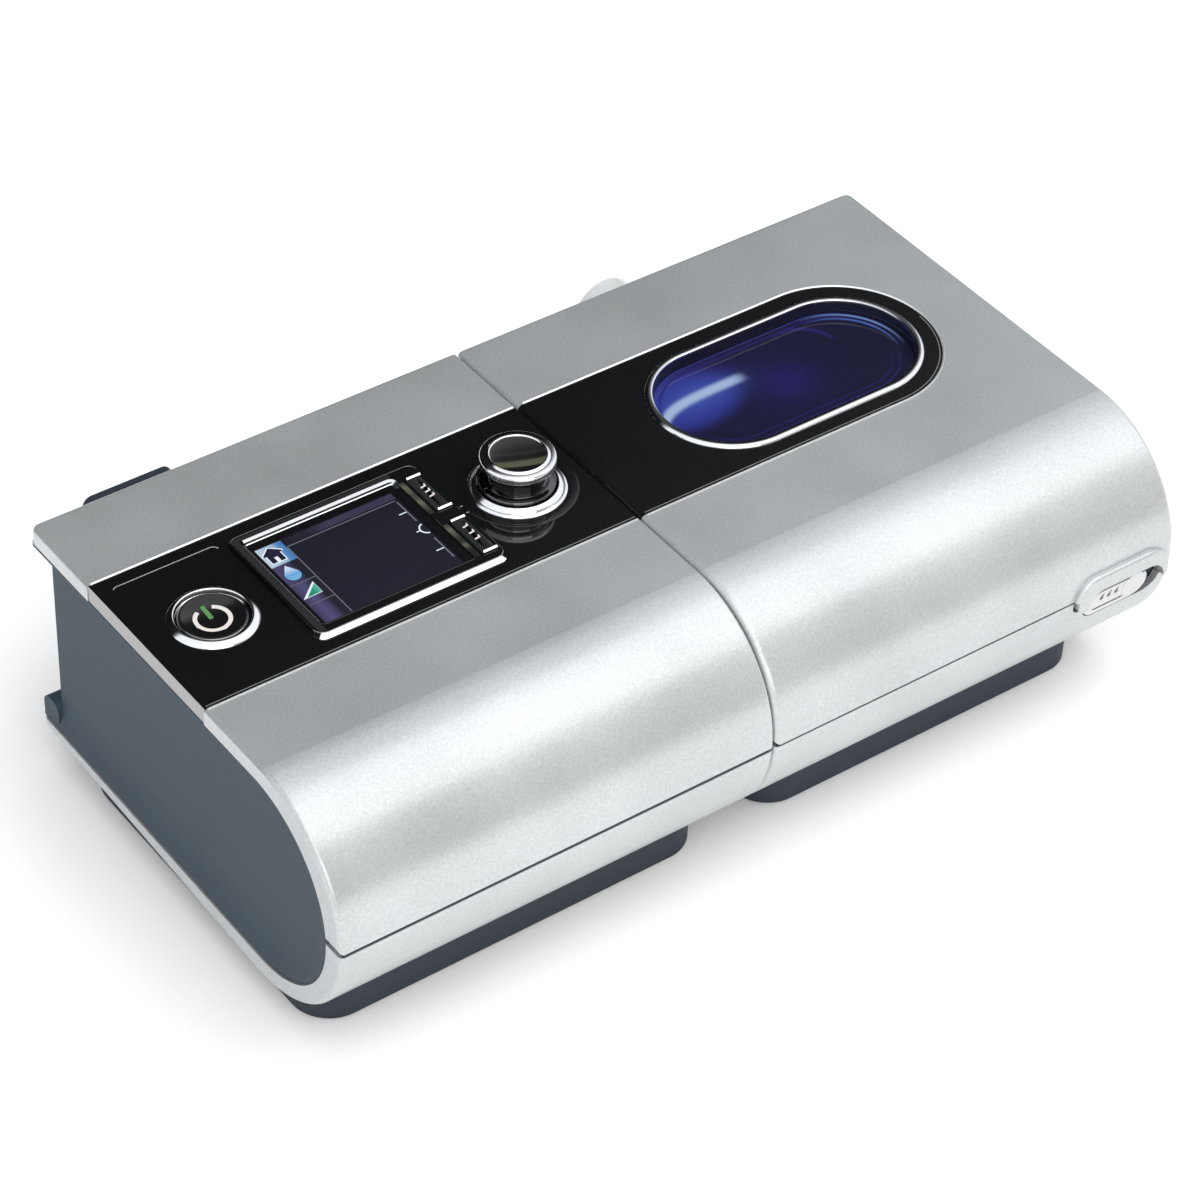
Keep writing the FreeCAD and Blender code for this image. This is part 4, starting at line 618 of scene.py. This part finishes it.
def corner(x, y, radius, start, stop, steps):
    """Places along an arc, each with the direction that leads outwards from it."""
    turns = [math.radians(start + (stop - start) * k / steps) for k in range(steps + 1)]
    return [((x + radius * math.cos(a), y + radius * math.sin(a)), (math.cos(a), math.sin(a)))
            for a in turns]


def oblong(x0, x1, y, radius, steps=64):
    """Places round two half circles and the lines between them."""
    return corner(x1, y, radius, -90, 90, steps) + corner(x0, y, radius, 90, 270, steps)


def panel(x0, x1, y0, y1, radius, steps=10):
    """Places round a rectangle with round corners."""
    return (corner(x1 - radius, y0 + radius, radius, -90, 0, steps)
            + corner(x1 - radius, y1 - radius, radius, 0, 90, steps)
            + corner(x0 + radius, y1 - radius, radius, 90, 180, steps)
            + corner(x0 + radius, y0 + radius, radius, 180, 270, steps))


def point(place):
    """One new point in the mesh that is open, and nothing else selected."""
    bpy.ops.mesh.select_all(action="DESELECT")
    bpy.ops.mesh.primitive_plane_add(size=1.0, calc_uvs=False)
    bpy.ops.mesh.merge(type="CENTER")
    bpy.ops.transform.translate(value=place)


def draw_out(start, stop):
    """What is selected, drawn out from one place to another."""
    step = [b - a for a, b in zip(start, stop)]
    bpy.ops.mesh.extrude_region_move(TRANSFORM_OT_translate={"value": step})


def chain(points):
    """A line drawn from point to point, with all of it selected."""
    point(points[0])
    for start, stop in zip(points, points[1:]):
        draw_out(start, stop)
    bpy.ops.mesh.select_linked()


def set_up(profile, station):
    """A profile of (outward, height) drawn at one place, across the way that it will go."""
    (x, y), (u, v) = station
    chain([(x + u * grow, y + v * grow, height) for grow, height in profile])


def carry(path):
    """What is selected, carried along a path: straight on while the outward direction stays
    the same, and spun about the arc's centre where it turns. The spin counts its angle the
    other way round."""
    for (here, out), (there, out_there) in zip(path, path[1:]):
        turn = math.atan2(out[0] * out_there[1] - out[1] * out_there[0],
                          out[0] * out_there[0] + out[1] * out_there[1])
        if abs(turn) < STRAIGHT:
            draw_out((*here, 0.0), (*there, 0.0))
        else:
            radius = math.dist(here, there) / math.dist(out, out_there)
            centre = (here[0] - radius * out[0], here[1] - radius * out[1], 0.0)
            bpy.ops.mesh.spin(steps=1, angle=-turn, center=centre, axis=(0.0, 0.0, 1.0))


def strip(path, profile):
    """A closed profile of (sideways, height) carried along an open path."""
    set_up(profile, path[0])
    bpy.ops.mesh.edge_face_add()
    carry(path)


def loft(outline, profile, hollow=False):
    """A profile of (outward, height) carried once round an outline. A hollow one is a ring
    with the profile all round it, and any other has its two ends filled."""
    set_up(profile + profile[:1] if hollow else profile, outline[0])
    carry(outline + outline[:1])
    if not hollow:
        bpy.ops.mesh.select_linked()
        bpy.ops.mesh.remove_doubles(threshold=WELD)
        bpy.ops.mesh.fill_holes(sides=0)


def plate(points, low, high):
    """A flat shape with a thickness."""
    chain([(x, y, low) for x, y in points])
    bpy.ops.mesh.edge_face_add()
    draw_out((0.0, 0.0, low), (0.0, 0.0, high))


def skin(rings):
    """Faces between neighbouring rings of places, with closed ends. It's for what follows
    the casing's curved front or changes its width on the way."""
    mesh = bpy.context.object.data
    bm = bmesh.from_edit_mesh(mesh)
    rings = [[bm.verts.new(place) for place in ring] for ring in rings]
    for first, second in zip(rings, rings[1:]):
        for k in range(len(first)):
            following = (k + 1) % len(first)
            bm.faces.new((first[k], first[following], second[following], second[k]))
    bm.faces.new(rings[0])
    bm.faces.new(rings[-1])
    bmesh.update_edit_mesh(mesh)


def piece(name, shape, look, body, replaced=()):
    """A piece whose shapes are drawn in edit mode in millimetres, then welded, faced outwards,
    smoothed up to an angle and put into metres, with its finish, its body and the nodes that
    it stands for."""
    bpy.ops.object.select_all(action="DESELECT")
    bpy.ops.mesh.primitive_plane_add(size=1.0, calc_uvs=False)
    made = bpy.context.object
    made.name = made.data.name = name
    bpy.ops.object.mode_set(mode="EDIT")
    bpy.ops.mesh.select_all(action="SELECT")
    bpy.ops.mesh.delete(type="VERT")
    shape()
    bpy.ops.mesh.select_all(action="SELECT")
    bpy.ops.mesh.remove_doubles(threshold=WELD)
    bpy.ops.mesh.select_all(action="SELECT")
    bpy.ops.mesh.normals_make_consistent(inside=False)
    bpy.ops.object.mode_set(mode="OBJECT")
    bpy.ops.object.shade_smooth_by_angle(angle=SMOOTH_LIMIT)
    made.data.transform(Matrix.Scale(MM, 4))
    made.data.materials.append(LOOKS[look])
    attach(made, body)
    if replaced:
        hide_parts(*replaced)


def turned(name, centre, profile, look, body, replaced=()):
    """A piece turned about an upright axis: its profile of (radius, height) is drawn and spun.
    It's a ring unless the profile starts and ends on the axis."""
    x, y = centre
    if profile[0][0] or profile[-1][0]:
        profile = profile + profile[:1]

    def shape():
        chain([(x + radius, y, height) for radius, height in profile])
        bpy.ops.mesh.spin(steps=TURN_STEPS, angle=2 * math.pi, center=(x, y, 0.0), axis=(0.0, 0.0, 1.0))

    piece(name, shape, look, body, replaced)


def at(x, y):
    """A place on the controls: x from the casing's left side, y from its middle."""
    return (LEFT + x, MIDDLE + y)


def box_at(x0, x1, y0, y1):
    """The corners of a rectangle on the controls."""
    return [at(x0, y0), at(x1, y0), at(x1, y1), at(x0, y1)]


def heights(profile):
    """A profile whose heights are counted from the casing's top."""
    return [(grow, TOP + height) for grow, height in profile]


# ------------------------------------------------------------------ start button

def start_button():
    stem_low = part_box("start_button")[0][2] / MM
    ring = heights([(12.7, 0.02), (12.66, 0.16), (12.3, 0.5), (11.8, 0.86), (11.35, 1.12), (11.05, 1.22),
                    (10.8, 1.24), (10.62, 1.22), (10.5, 1.14), (10.42, 1.0), (10.4, 0.6), (10.3, -0.2),
                    (9.9, -0.5), (9.9, -5.6), (11.3, -5.6), (11.3, 0.02)])
    turned("start_ring_chrome", BUTTON, ring, "chrome", "flow_generator", ["start_ring"])
    cap = heights([(0.0, -0.45), (4.0, -0.33), (5.6, -0.14), (7.0, 0.16), (8.0, 0.45), (8.5, 0.62),
                   (8.8, 0.68), (9.0, 0.66), (9.3, 0.5), (9.6, 0.24), (9.85, -0.1), (9.85, -0.3),
                   (9.6, -0.5), (9.6, -4.2), (2.0, -4.2)])
    turned("start_cap", BUTTON, cap + [(2.0, stem_low), (0.0, stem_low)], "key",
           "start_button", ["start_button"])
    line = heights([(9.56, 0.2), (9.52, 0.42), (9.4, 0.58), (9.3, 0.62), (9.2, 0.6), (9.15, 0.4),
                    (9.15, 0.2)])
    turned("start_cap_line", BUTTON, line, "dark_chrome", "start_button")

    def power_arc():
        low, high = -0.6, -0.12
        mark = heights([(-0.6, low), (-0.6, high - 0.08), (0.0, high), (0.6, high - 0.02), (0.6, low)])
        strip(corner(*BUTTON, 4.75, 118, 422, 60), mark)
        x, y = BUTTON
        strip(corner(x - 0.5, y - 0.65, 4.9, 178, 292, 40), [(u, v - 0.03) for u, v in mark])

    piece("power_arc", power_arc, "mark_white", "start_button")

    def power_bar():
        x, y = BUTTON
        path = [((x, y + 5.6), (1.0, 0.0)), ((x - 0.2, y + 0.3), (1.0, 0.0))]
        strip(path, heights([(-0.6, -0.6), (-0.6, -0.06), (0.0, -0.02), (0.6, -0.06), (0.6, -0.6)]))

    piece("power_bar", power_bar, "mark_green", "start_button")

    def zone_line():
        line = heights([(-0.15, -0.02), (-0.15, 0.03), (0.15, 0.03), (0.15, -0.02)])
        strip(corner(*at(6.4, 40.0), 1.4, 150, 90, 6) + corner(*at(35.4, 39.3), 2.1, 90, 15, 8), line)

    piece("zone_line", zone_line, "mark_line", "flow_generator")


# ------------------------------------------------------------------ display and keys

def display():
    (x0, y0, _), (x1, y1, _) = [[c / MM for c in place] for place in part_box("display_window")]
    (left, front, _), (right, back, _) = [[c / MM for c in place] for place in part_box("display_bezel")]
    inner_lip = heights([(0.25, 0.7), (0.25, 1.2), (0.12, 1.26), (0.0, 1.2), (-0.1, 0.9), (-0.1, 0.7)])
    piece("screen_lip", lambda: loft(panel(x0, x1, y0, y1, 1.2), inner_lip, hollow=True),
          "bezel", "flow_generator")

    def back_bevel():
        path = [((x0 + 0.5, y1 + 0.6), (0.0, 1.0))] + corner(x1 - 1.9, y1 - 0.9, 1.5, 90, 0, 8)
        path += [((x1 - 0.4, y1 - 2.1), (1.0, 0.0))]
        strip(path, heights([(-0.95, 0.7), (-0.95, 0.86), (0.7, 1.5), (0.85, 1.52), (0.95, 1.45),
                             (1.0, 0.7)]))

    piece("screen_bevel", back_bevel, "chrome", "flow_generator", ["display_trim"])

    # A thin grey line along the screen's left edge: a painted highlight on that edge
    def side_line():
        strip([((x0 - 0.1, y0 + 1.5), (1.0, 0.0)), ((x0 - 0.1, y1 - 0.4), (1.0, 0.0))],
              heights([(-0.1, 1.1), (-0.1, 1.24), (0.1, 1.24), (0.1, 1.1)]))

    piece("screen_side_line", side_line, "grey_painted_highlight", "flow_generator")

    def top_face():
        for near, far, low, high in ((left + 0.8, x0 - 0.3, front + 0.8, back - 0.8),
                                     (x0 - 0.3, x1, y1 + 2.0, back - 0.8)):
            plate([(near, low), (far, low), (far, high), (near, high)], TOP + 1.1, TOP + 1.22)

    piece("bezel_face", top_face, "bezel_satin", "flow_generator")
    rim = heights([(0.1, 0.3), (0.1, 1.14), (0.0, 1.24), (-0.15, 1.27), (-0.3, 1.24), (-0.34, 1.18),
                   (-0.3, 0.3)])
    piece("bezel_rim", lambda: loft(panel(left, right, front, back, 3.0), rim, hollow=True),
          "dark_chrome", "flow_generator")

    def front_bar():
        middle = front - 0.7
        path = corner(left + 2.3, middle + 2.3, 2.3, 218, 270, 8)
        path += corner(right - 2.6, middle + 1.8, 1.8, 270, 312, 8)
        strip(path, heights([(0.8, 0.02), (0.78, 0.22), (-0.62, 1.05), (-0.8, 1.1), (-0.95, 1.0),
                             (-1.0, 0.02)]))

    piece("bezel_front_bar", front_bar, "chrome", "flow_generator")


# The picture's heights over the casing's top: its ground, and how thick what lies on it is
LCD_GROUND, LCD_SUNK, LCD_THICK = 0.83, 0.03, 0.02


def lcd_layer(points, level):
    plate(points, TOP + LCD_GROUND + level - LCD_SUNK, TOP + LCD_GROUND + level + LCD_THICK)


def lcd_piece(name, shapes, level, look):
    """Flat shapes of one colour on the display."""
    def fill():
        for points in shapes:
            lcd_layer(points, level)

    piece(name, fill, look, "flow_generator")


def house(grow):
    """The outline of a plain house: walls under a wider roof."""
    x, y = 47.75, 28.2
    walls, eaves = 2.1 + grow, 2.9 + grow
    right = [(walls, -3.0 - grow), (walls, 0.4), (eaves, 0.4), (eaves, 0.9 + grow)]
    left = [(-u, v) for u, v in reversed(right)]
    return [at(x + u, y + v) for u, v in right + [(0.0, 3.3 + 1.3 * grow)] + left]


def picture():
    """The display's picture: a header, four tiles down the left side, three of them with a
    plain sign, and marks at the right."""
    low, high = at(44.1, -2.7), at(88.6, 32.9)
    field = [place for place, _ in panel(low[0], high[0], low[1], high[1], 0.3, 3)]
    piece("lcd_field", lambda: plate(field, TOP + 0.78, TOP + LCD_GROUND), "lcd",
          "flow_generator")
    lines = ((52.45, 52.75, -2.6, 29.1), (52.75, 87.6, 29.1, 29.4), (44.4, 52.4, 14.75, 15.0),
             (44.4, 52.4, 5.55, 5.8), (87.6, 88.0, 18.9, 28.5), (87.6, 88.0, 0.9, 10.4))
    drop = [at(47.7 + 2.3 * math.sin(a), 18.6 - 2.3 * math.cos(a))
            for a in [math.radians(d) for d in range(-125, 126, 10)]] + [at(47.7, 22.9)]
    for name, shapes, level, look in (
            ("lcd_lines", [box_at(*bounds) for bounds in lines], 0.02, "lcd_line"),
            ("lcd_header", [box_at(53.0, 88.4, 30.0, 32.5)], 0.02, "lcd_head"),
            ("lcd_home_tile", [box_at(44.3, 52.4, 23.8, 32.5)], 0.02, "lcd_home"),
            ("lcd_water_tile", [box_at(44.3, 52.3, 15.1, 23.6)], 0.02, "lcd_pool"),
            ("lcd_lower_tiles", [box_at(44.3, 52.3, 5.9, 14.65), box_at(44.3, 52.3, -2.6, 5.45)], 0.02,
             "lcd_violet"),
            ("lcd_house_edge", [house(0.32)], 0.05, "lcd_pale"),
            ("lcd_house", [house(0.0)], 0.08, "lcd_dark"),
            ("lcd_door", [box_at(47.2, 48.3, 25.1, 27.3)], 0.11, "lcd_pale"),
            ("lcd_drop_mark", [drop], 0.05, "lcd_drop"),
            ("lcd_wedge_edge", [[at(44.4, 8.3), at(50.5, 8.45), at(50.5, 13.5)]], 0.05, "lcd_pale"),
            ("lcd_wedge", [[at(45.8, 8.5), at(50.4, 8.65), at(50.4, 12.6)]], 0.08, "lcd_green")):
        lcd_piece(name, shapes, level, look)

    def white_marks():
        low, high = LCD_GROUND - 0.01, LCD_GROUND + 0.05
        strip(corner(*at(88.5, 14.95), 2.1, 100, 260, 20),
              heights([(-0.22, low), (-0.22, high), (0.22, high), (0.22, low)]))
        for bounds in ((85.2, 87.6, 23.4, 23.75), (85.1, 86.5, 14.75, 15.1), (85.2, 87.6, 5.35, 5.7)):
            lcd_layer(box_at(*bounds), 0.03)

    piece("lcd_marks", white_marks, "lcd_pale", "flow_generator")


def soft_keys():
    for name, marks in (("info_key", (29.0, 26.8, 24.6)), ("setup_key", (8.6, 5.6, 2.8))):
        (x0, y0, stem), (x1, y1, top) = [[c / MM for c in place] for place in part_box(name)]
        middle = ((x0 + x1) / 2, (y0 + y1) / 2)

        def cap():
            outline = panel(x0, x1, y0, y1, 0.7, 6)
            loft(outline, [(0.0, top - 4.0), (0.0, top - 0.7), (-0.12, top - 0.3), (-0.45, top - 0.08),
                           (-0.9, top), (-1.6, top - 0.06)])
            loft(circle(*middle, 32), [(1.4, stem), (1.4, top - 3.9)])

        piece(name + "_cap", cap, "key_side", name, [name])

        def trims():
            for y in (y0 + 0.35, y1 - 0.35):
                path = [((x0 + 0.35, y), (0.0, -1.0)), ((x1 + 0.25, y), (0.0, -1.0))]
                strip(path, [(0.32, top - 0.3), (0.3, top - 0.08), (-0.18, top + 0.22),
                             (-0.3, top + 0.24), (-0.35, top - 0.3)])

        piece(name + "_trims", trims, "chrome", name)

        def ticks():
            for mark in marks:
                y = MIDDLE + mark
                for half, way, stroke in ((0.24, (0.0, 1.0), ((-0.8, 0.0), (0.9, 0.25))),
                                          (0.2, (1.0, 0.0), ((0.8, 0.1), (0.9, 1.1)))):
                    strip([((middle[0] + u, y + v), way) for u, v in stroke],
                          [(-half, top - 0.1), (-half, top + 0.05), (half, top + 0.05), (half, top - 0.1)])

        piece(name + "_ticks", ticks, "mark_white", name)

        def rail():
            edge = x0 - 1.6
            path = [((edge, y0 + 0.2), (1.0, 0.0)), ((edge, y1 - 0.2), (1.0, 0.0))]
            strip(path, heights([(-0.85, 1.1), (-0.8, 1.3), (0.0, 1.36), (0.8, 1.3), (0.85, 1.1)]))

        piece(name + "_rail", rail, "channel", "flow_generator")


# ------------------------------------------------------------------ push dial

def push_dial():
    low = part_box("dial_knob")[0][2] / MM - TOP
    dish = [(0.0, 11.15), (3.0, 11.18), (5.4, 11.3), (6.8, 11.48), (7.5, 11.62), (7.8, 11.72), (7.75, 10.8),
            (0.0, 10.8)]
    head = [(7.7, 11.0), (7.8, 11.72), (7.9, 11.84), (8.05, 11.96), (8.2, 12.0), (8.35, 11.96), (8.55, 11.82),
            (8.85, 11.58), (8.98, 11.53), (9.1, 11.52), (10.25, 11.55), (10.38, 11.5), (10.56, 11.34),
            (10.72, 11.08), (10.8, 10.8), (10.84, 10.3), (10.82, 9.7), (10.7, 9.3), (10.4, 9.1), (9.6, 9.0),
            (9.1, 8.8), (9.0, 8.4), (8.6, 8.3), (7.0, 8.3)]
    neck = [(9.0, 8.6), (8.88, 8.0), (8.82, 6.5), (8.86, 5.0), (8.95, 3.6), (9.1, 3.15), (9.4, 3.02),
            (10.3, 3.0), (10.6, 2.92), (10.8, 2.7), (10.9, 2.3), (11.0, 1.8), (11.0, low), (3.05, low),
            (3.05, low + 6.0), (2.6, low + 6.2), (2.6, 9.0)]
    collar = [(14.05, 0.03), (14.0, 0.3), (13.55, 0.7), (13.4, 0.74), (13.3, 0.6), (13.1, 0.6), (13.0, 0.98),
              (12.6, 1.36), (12.0, 1.86), (11.75, 2.0), (11.55, 2.0), (11.42, 1.85), (11.4, 0.03)]
    flange = [(17.2, 0.02), (17.15, 0.06), (17.0, 0.09), (14.2, 0.1), (13.5, 0.1), (13.5, 0.02)]
    for name, profile, look, slot, body, replaced in (
            ("dial_dish", dish, "dish", "dial_metal", "dial", ()),
            ("dial_head", head, "head_chrome", "dial_metal", "dial", ["dial_knob"]),
            ("dial_neck", neck, "neck_chrome", "dial_metal", "dial", ["dial_knob"]),
            ("dial_collar_chrome", collar, "head_chrome", "chrome_trim", "flow_generator", ["dial_collar"]),
            ("dial_flange", flange, "bezel", "chrome_trim", "flow_generator", ["dial_collar"])):
        turned(name, DIAL, heights(profile), look, body, replaced)

    def marks():
        line = heights([(-0.14, 0.0), (-0.14, 0.04), (0.14, 0.04), (0.14, 0.0)])
        for y in (15.0, 18.1):
            strip([(at(101.5, y), (0.0, 1.0)), (at(104.2, y - 0.1), (0.0, 1.0))], line)
        strip([(at(115.4, 32.4), (0.0, 1.0)), (at(117.6, 32.9), (0.0, 1.0))], line)

    piece("dial_marks", marks, "mark_line", "flow_generator")


# ------------------------------------------------------------------ lid window and band edges

def lid_window():
    low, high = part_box("window_ring")
    radius = (high[1] - low[1]) / 2 / MM
    y = (high[1] + low[1]) / 2 / MM
    x0, x1 = low[0] / MM + radius, high[0] / MM - radius
    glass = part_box("lid_window")[0][2] / MM - TOP
    ring = [(0.0, 0.02), (-0.05, 0.2), (-0.2, 0.42), (-0.6, 0.74), (-0.78, 0.82), (-0.95, 0.84),
            (-2.05, 0.84), (-2.22, 0.8), (-2.35, 0.7), (-2.4, 0.5), (-2.4, 0.2), (-1.0, 0.2), (-1.0, 0.02)]
    wall = [(-2.38, 0.21), (-2.4, 0.1), (-2.4, -3.3), (-2.35, glass), (-1.0, glass), (-1.0, 0.21)]
    for name, profile, look in (("window_ring_chrome", ring, "head_chrome"),
                                ("window_ring_wall", wall, "window_wall")):
        piece(name, lambda: loft(oblong(x0, x1, y, radius), heights(profile), hollow=True), look,
              "lid", ["window_ring"])


def band_edges():
    """Fine lines where the band meets the shells: a pale bead on each shell's edge that is a painted
    highlight, a black strip in the gap that is painted shade, and along the front a grey line inside the band
    that is a painted highlight on its edge.
    """
    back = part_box("control_fascia")[1][1] / MM
    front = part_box("control_fascia")[0][1] / MM
    seam_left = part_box("flow_top_shell")[1][0] / MM
    seam_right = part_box("hum_lid")[0][0] / MM
    # A pale bead on the shell's edge, brighter than the silver: a painted highlight
    bright = [(-0.1, 0.0), (-0.06, 0.03), (0.3, 0.24), (0.44, 0.26), (0.5, 0.2), (0.55, -0.05), (-0.1, -0.05)]
    # A black strip in the gap between band and shell: painted shade
    black = [(-0.45, 0.015), (-0.42, 0.03), (-0.08, 0.03), (-0.08, -0.05), (-0.45, -0.05)]
    # A grey line on the band's front edge chamfer: a painted highlight
    inner = [(-1.02, -0.02), (-1.0, 0.05), (-0.76, 0.05), (-0.74, -0.02)]
    ends = (LEFT + 1.2, seam_left - 0.6)
    radius = (back - front) / 2 + 0.1
    middle = (back + front) / 2
    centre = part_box("lid_fascia")[1][0] / MM - radius + 0.1
    round_end = [((seam_right + 2.0, middle + radius), (0.0, 1.0))]
    round_end += corner(centre, middle, radius, 90, -90, 96)
    round_end += [((seam_right + 2.0, middle - radius), (0.0, -1.0))]
    runs = {"flow_generator": [[((x, back + 0.1), (0.0, 1.0)) for x in ends],
                               [((x, front - 0.1), (0.0, -1.0)) for x in ends]],
            "lid": [round_end]}
    for body, paths in runs.items():
        front_half = [[place for place in paths[-1] if place[0][1] < middle]]
        for part, lines, profile, look, slot in (("edge", paths, bright, "edge_painted_highlight", "silver_shell"),
                                                 ("gap", paths, black, "black_painted_shade", "gloss_black"),
                                                 ("line", front_half, inner, "grey_painted_highlight", "gloss_black")):
            def fill():
                for path in lines:
                    strip(path, heights(profile))

            piece(f"{body}_band_{part}", fill, look, body)


# ------------------------------------------------------------------ side panels

# The opening in each outer side: how far forward and up it reaches, the level of its front,
# the radius of the curve below that level, the slope of its base line, and its back end
OPENING_FRONT, OPENING_TOP, OPENING_LEVEL, OPENING_LOWER = -69.6, 80.8, 47.3, 31.9
OPENING_RISE = math.radians(0.5)
OPENING_BACK = 69.3


def side_stations():
    """Places round the side opening: each a function of how far in from its edge, and a share
    that is 0 along the base and 1 along the top."""
    upper = OPENING_TOP - OPENING_LEVEL
    chin = OPENING_FRONT + OPENING_LOWER
    nose = OPENING_FRONT + upper
    stations = []

    def base(y):
        def place(inset):
            radius = OPENING_LOWER - inset
            start = chin + radius * math.sin(OPENING_RISE)
            low = OPENING_LEVEL - radius * math.cos(OPENING_RISE)
            return y, low + (y - start) * math.tan(OPENING_RISE)
        return place

    def turn(centre, full, angle):
        def place(inset):
            radius = full - inset
            return (centre + radius * math.cos(angle), OPENING_LEVEL + radius * math.sin(angle))
        return place

    for k in range(9):
        stations.append((base(OPENING_BACK + (chin + 0.3 - OPENING_BACK) * k / 8), 0.0))
    for k in range(1, 29):
        angle = math.radians(270 - 90 * k / 28)
        stations.append((turn(chin, OPENING_LOWER, angle), 0.6 * k / 28))
    for k in range(1, 29):
        angle = math.radians(180 - 90 * k / 28)
        stations.append((turn(nose, upper, angle), 0.6 + 0.4 * k / 28))
    for k in range(1, 9):
        y = nose + (OPENING_BACK - nose) * k / 8
        stations.append(((lambda y: lambda inset: (y, OPENING_TOP - inset))(y), 1.0))
    return stations


def side_panels():
    """The moulded edge of each outer side: a rounded flange that runs into the panel in a
    hollow curve, wide along the base and narrow along the top, with painted shade in the gap round it."""
    gap_section = [(-0.08, 0.7), (0.7, 0.7), (0.7, 1.4), (-0.08, 1.4)]
    flange_section = [(0.62, 1.5), (0.66, 1.0), (0.78, 0.72), (1.0, 0.56), (1.4, 0.5), (1.8, 0.54)]
    for name, side, way, body in (("flow_side_edge", LEFT, 1.0, "flow_generator"),
                                  ("hum_side_edge", RIGHT, -1.0, "humidifier")):
        def ring(place, section):
            return [(side + way * deep, MIDDLE + place(inset)[0], place(inset)[1]) for inset, deep in section]

        def edge():
            rings = []
            for place, share in side_stations():
                width = 9.5 * (1 - share) ** 1.3 + 2.2 * share + 0.6
                hollow = [(2.1 + width * k / 10, 0.6 + 1.88 * (1 - (1 - k / 10) ** 2)) for k in range(11)]
                rings.append(ring(place, flange_section + hollow + [(2.1 + width, 2.9), (0.5, 2.9)]))
            skin(rings)

        piece(name, edge, "slate", body)
        # The gap round the flange is a black strip: painted shade
        piece(name + "_gap", lambda: skin([ring(place, gap_section) for place, _ in side_stations()]),
              "black_painted_shade", body)


# ------------------------------------------------------------------ the casing's front

# The front is an arc about this depth, level and radius, and upright above that level
ARC_DEPTH, ARC_LEVEL, ARC_RADIUS = -36.0, 49.5, 40.5
PARTING_LEVEL = 48.6


def on_front(x, z, proud):
    """A place on the casing's front, proud of its surface."""
    reach = math.sqrt(ARC_RADIUS ** 2 - (min(z, ARC_LEVEL) - ARC_LEVEL) ** 2)
    return (x, MIDDLE + ARC_DEPTH - reach - proud, z)


def front_plate(points, sunk, proud):
    skin([[on_front(x, z, out) for x, z in points] for out in (-sunk, proud)])


def parting_shadows():
    """The dark bottoms of the grooves between the upper and lower shells."""
    for name, x0, x1, half, body in (("flow_groove_dark", 1.0, 138.8, 0.6, "flow_generator"),
                                     ("hum_groove_dark", 141.6, 243.0, 0.35, "humidifier")):
        corners = [(LEFT + x, PARTING_LEVEL + z)
                   for x, z in ((x0, -half), (x1, -half), (x1, half), (x0, half))]
        piece(name, lambda: front_plate(corners, 1.2, -0.3), "slate_dark", body)


def latch_marks():
    """The latch's three drops, a black line under them that is painted shade in a thin groove, its thumb
    dimple, and a black strip of painted shadow along the pocket's edge.
    """
    # A black strip along the pocket's top and left edges, under the hood: painted shadow
    def shadow():
        spots = [(LEFT + 257.75, math.radians(a)) for a in range(180, 89, -10)]
        spots += [(LEFT + 275.0, math.radians(90))]
        skin([[on_front(x + r * math.cos(a), 44.5 + r * math.sin(a), proud)
               for r, proud in ((3.3, -0.3), (3.3, 0.1), (4.3, 0.14), (4.3, -0.3))] for x, a in spots])

    def drops():
        for k in range(3):
            x, z = LEFT + 258.9 + 2.75 * k, 45.0
            belly = [(x + 0.62 * math.sin(a), z - 0.62 * math.cos(a))
                     for a in [math.radians(d) for d in range(-120, 121, 20)]]
            front_plate(belly + [(x + 0.75, z + 1.7)], 0.2, 0.08)

    # A black strip where the latch has a thin groove: painted shade
    def line():
        ends = ((256.6, 41.0), (267.6, 41.0), (267.8, 41.6), (256.4, 41.6))
        front_plate([(LEFT + x, z) for x, z in ends], 0.2, 0.06)

    def dimple():
        x, z = LEFT + 271.4, 44.3
        skin([[on_front(x + radius * u, z + radius * v, proud) for _, (u, v) in circle(0.0, 0.0, 64)]
              for radius, proud in ((4.5, -0.3), (4.4, 0.12), (4.1, 0.26), (3.8, 0.22), (3.0, 0.08),
                                    (1.5, 0.03), (0.0, 0.02))])

    piece("latch_shadow_top", shadow, "black_painted_shade", "lid")
    piece("latch_drops", drops, "mark_dark", "latch")
    piece("latch_line", line, "black_painted_shade", "latch")
    piece("latch_dimple", dimple, "latch", "latch")


start_button()
display()
picture()
soft_keys()
push_dial()
lid_window()
band_edges()
side_panels()
parting_shadows()
latch_marks()
